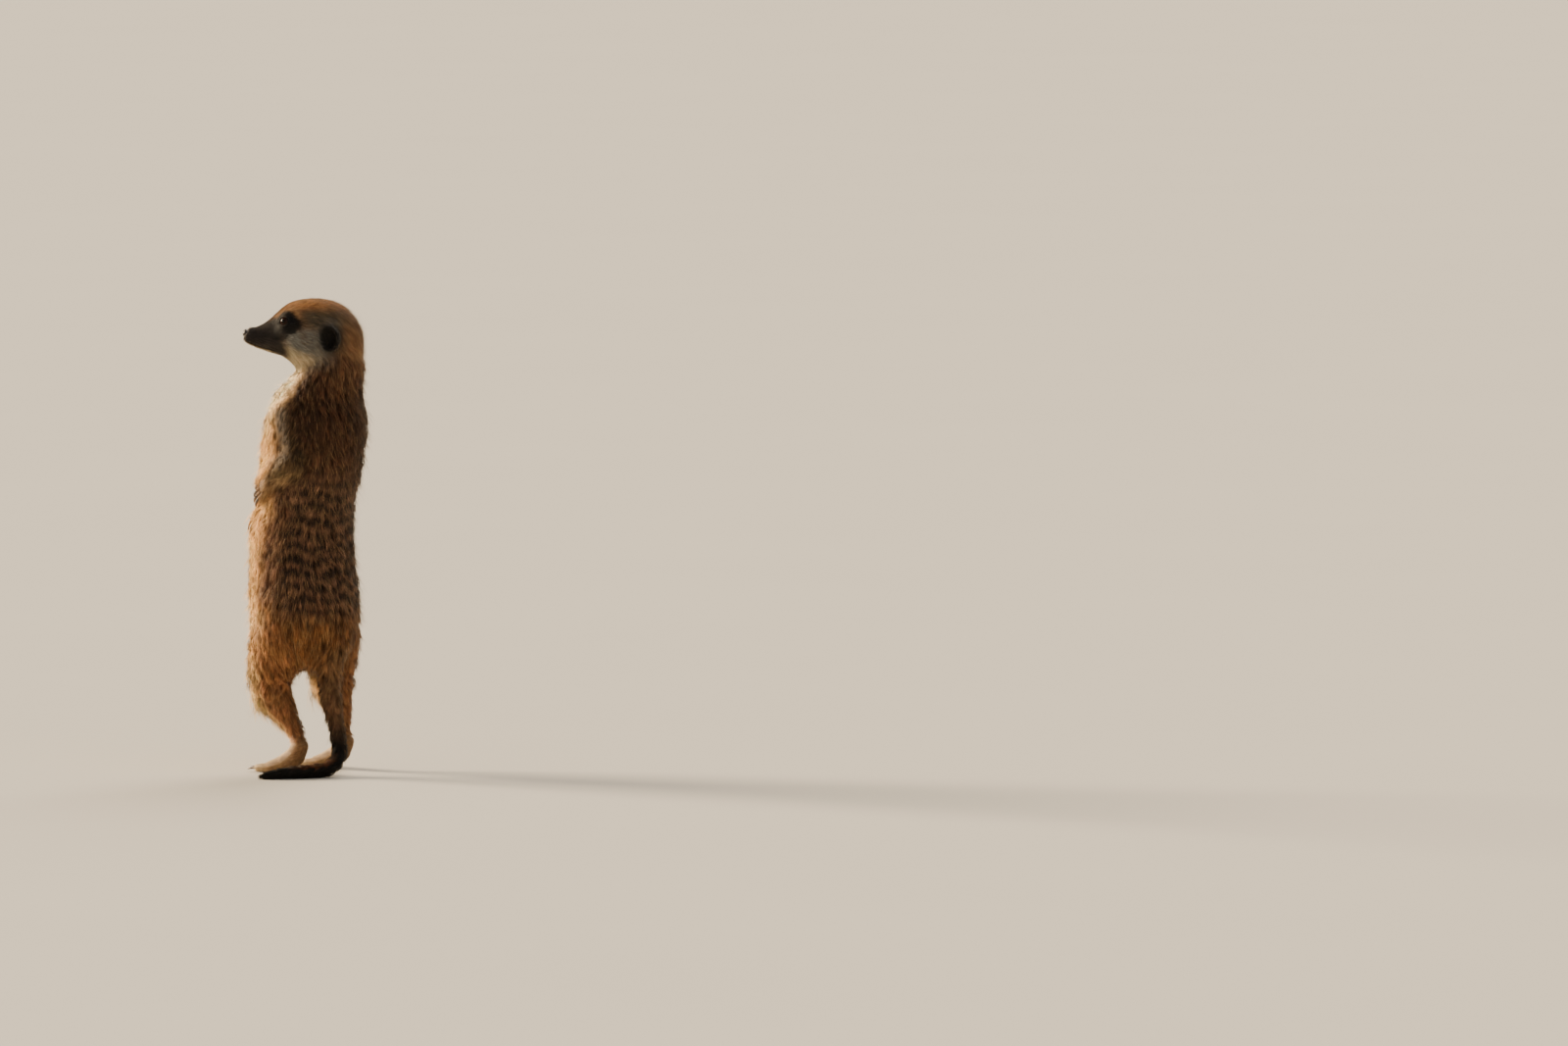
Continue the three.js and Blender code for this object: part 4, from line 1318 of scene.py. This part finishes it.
def shapeNose(ball):
    side, front, up = ball[:, 0], -ball[:, 1], ball[:, 2]
    square = np.abs(ball) ** 0.8 * np.sign(ball)
    place = square * np.array(noseLook["radii"])
    place[:, 0] *= 1 + 0.10 * ease(-0.2, 0.6, up) - 0.22 * ease(0.0, -0.9, up)
    inward = noseLook["groove"] * np.exp(-(side / 0.07) ** 2) * ease(0.35, -0.3, up) * ease(0.1, 0.5, front)
    for sign in (-1, 1):
        across = side * sign
        reachSide = (across - 0.44 - 0.22 * (up + 0.1)) / 0.17
        reachUp = (up + 0.10 + 0.30 * (across - 0.44)) / 0.22
        hole = np.exp(-(reachSide ** 2 + reachUp ** 2) ** 1.5)
        inward += noseLook["nostril"] * hole * ease(0.05, 0.4, front)
        slit = np.exp(-((up + 0.26 + 0.1 * (across - 0.7)) / 0.09) ** 2) * between(0.5, 0.98, 0.08, across)
        inward += noseLook["slit"] * slit * ease(-0.5, 0.0, front)
        wing = np.exp(-((across - 0.72) / 0.22) ** 2 - ((up - 0.12) / 0.3) ** 2)
        inward -= 0.35 * wing * ease(0, 0.4, front)
    inward += 0.9 * ease(-0.45, -1.0, up) * ease(0.2, 0.8, front)
    place = place - unit(ball / np.array(noseLook["radii"])) * inward[:, None]
    return noseMiddle + place[:, :1] * headSide + place[:, 1:2] * headBack + place[:, 2:] * upward


def noseMaterial():
    material, shader = newMaterial("noseLeather", {
        "Specular IOR Level": 0.55, "Coat Weight": 0.25, "Coat Roughness": 0.3})
    place = addNode(material, "ShaderNodeTexCoord").outputs["Object"]
    cells = addNode(material, "ShaderNodeTexVoronoi", {"feature": "DISTANCE_TO_EDGE"}, {
        "Vector": place, "Scale": 1 / (noseLook["cell"] * mm)}).outputs["Distance"]
    tone = addNode(material, "ShaderNodeMix", {"data_type": "RGBA"}, {
        0: ranged(material, grainOf(material, 1.4), 0, 1), 6: (*linear(noseLook["colour"]), 1),
        7: (*linear(noseLook["paleColour"]), 1)})
    rough = ranged(material, grainOf(material, 0.6), 0.28, 0.5)
    dress(material, shader, tone.outputs[2], rough, ranged(material, cells, 0, 1, 0.0, 0.25), 0.06, 0.7)
    return material


noseBall, noseFaces = ballMesh(120, 80)
nosePad = newMesh("nosePad", shapeNose(noseBall), noseFaces)
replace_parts(newPiece(nosePad, noseMaterial(), "nose"), "nose")
print("nose made")


# The claws and whiskers

def tubeAlong(path, radii, sides):  # a closed tapering tube through the path's points
    line = unit(np.gradient(path, axis=0))
    guess = upward if abs(line[0] @ upward) < 0.8 else headSide
    first = unit(np.cross(line, guess))
    second = np.cross(line, first)
    turns = np.arange(sides) / sides * 2 * np.pi
    rings = path[:, None] + radii[:, None, None] * (
        first[:, None] * np.cos(turns)[None, :, None] + second[:, None] * np.sin(turns)[None, :, None])
    points = np.concatenate([rings.reshape(-1, 3), path[:1], path[-1:]])
    faces, rows = [], len(path)
    for i in range(sides):
        j = (i + 1) % sides
        for r in range(rows - 1):
            a, b = r * sides + i, r * sides + j
            faces += [(a, b, b + sides), (a, b + sides, a + sides)]
        faces.append((rows * sides, j, i))
        faces.append((rows * sides + 1, (rows - 1) * sides + i, (rows - 1) * sides + j))
    along = np.concatenate([np.repeat(np.linspace(0, 1, rows), sides), [0, 1]])
    return points, np.array(faces), along


def joinTubes(tubes):
    points, faces, along, count = [], [], [], 0
    for tubePoints, tubeFaces, tubeAlongValues in tubes:
        points.append(tubePoints)
        faces.append(tubeFaces + count)
        along.append(tubeAlongValues)
        count += len(tubePoints)
    return np.concatenate(points), np.concatenate(faces), np.concatenate(along)


def hornMaterial(name, look):
    material, shader = newMaterial(name, {"Specular IOR Level": 0.45})
    along = addNode(material, "ShaderNodeAttribute", {"attribute_name": "along"}).outputs["Fac"]
    streaks = grainOf(material, look["streak"], 4.0)
    frayed = addNode(material, "ShaderNodeMath", {"operation": "MULTIPLY_ADD"}, {
        0: streaks, 1: 0.35, 2: along})
    colour = rampOf(material, frayed.outputs["Value"], [(0.2, look["root"]), (1.15, look["tip"])])
    dress(material, shader, colour, ranged(material, streaks, 0.3, 0.5), streaks, 0.04, 0.5)
    return material


clawLook = {"root": "2a1f19", "tip": "6a5746", "streak": 0.5, "rings": 14, "sides": 14}
clawHorn = hornMaterial("clawHorn", clawLook)


def clawTube(node, pawMiddle):  # follows the solid claw from its root in the toe to its tip
    corners, root, tip = clawEnds(node, pawMiddle)
    share = (corners - root) @ (tip - root) / ((tip - root) @ (tip - root))
    centre = corners[np.abs(share - 0.55) < 0.25].mean(0)
    radius = np.sort(np.linalg.norm(corners - root, axis=1))[:6].max()
    bend = 2 * centre - (root + tip) / 2
    t = np.linspace(0, 1, clawLook["rings"])[:, None]
    path = root * (1 - t) ** 2 + 2 * bend * t * (1 - t) + tip * t ** 2
    return tubeAlong(path, radius * (1 - t[:, 0] ** 1.5) ** 0.8 * 0.98 + 0.03, clawLook["sides"])


for foot in ("fore", "hind"):
    for side in ("left", "right"):
        paw = middle(("forepaw_" if foot == "fore" else "hindfoot_") + side)
        nodes = [f"{foot}claw_{side}_{k}" for k in range(1, 5)]
        clawPoints, clawFaces, clawAlong = joinTubes([clawTube(n, paw) for n in nodes])
        clawPoints[:, 2] = np.maximum(clawPoints[:, 2], 0.02)
        clawMesh = newMesh(f"{foot}Claws{side.capitalize()}", clawPoints, clawFaces)
        writeNumbers(clawMesh, "along", clawAlong)
        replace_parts(newPiece(clawMesh, clawHorn, "claw"), *nodes)

whiskerLook = {
    "root": "1b1512", "tip": "3d3128", "streak": 2.0,
    "perSide": 9, "length": (9, 19), "thick": 0.085,
}


def makeWhiskers():
    tubes = []
    for sign in (-1, 1):
        for k in range(whiskerLook["perSide"]):
            row, column = divmod(k, 3)
            back, up = 7.0 + column * 3.0 + row * 0.6, -1.8 - row * 1.7
            aim = noseTip + headBack * back + upward * up + headSide * sign * 14
            root = np.array(skinTree.ray_cast(Vector(aim), Vector(-headSide * sign))[0])
            length = rng.uniform(*whiskerLook["length"]) * (0.75 + 0.12 * column)
            out = unit(headSide * sign + headBack * rng.uniform(0.7, 1.1) + upward * rng.uniform(-0.4, 0.1))
            t = np.linspace(0, 1, 9)[:, None]
            path = root - out * 0.5 + out * length * t + (headBack * 0.25 - upward * 0.3) * length * t ** 2
            tubes.append(tubeAlong(path, whiskerLook["thick"] * (1 - 0.85 * t[:, 0]), 5))
    points, faces, along = joinTubes(tubes)
    mesh = newMesh("whiskers", points, faces)
    writeNumbers(mesh, "along", along)
    newPiece(mesh, hornMaterial("whiskerHair", whiskerLook), "head_coat")


makeWhiskers()
print("claws and whiskers made")

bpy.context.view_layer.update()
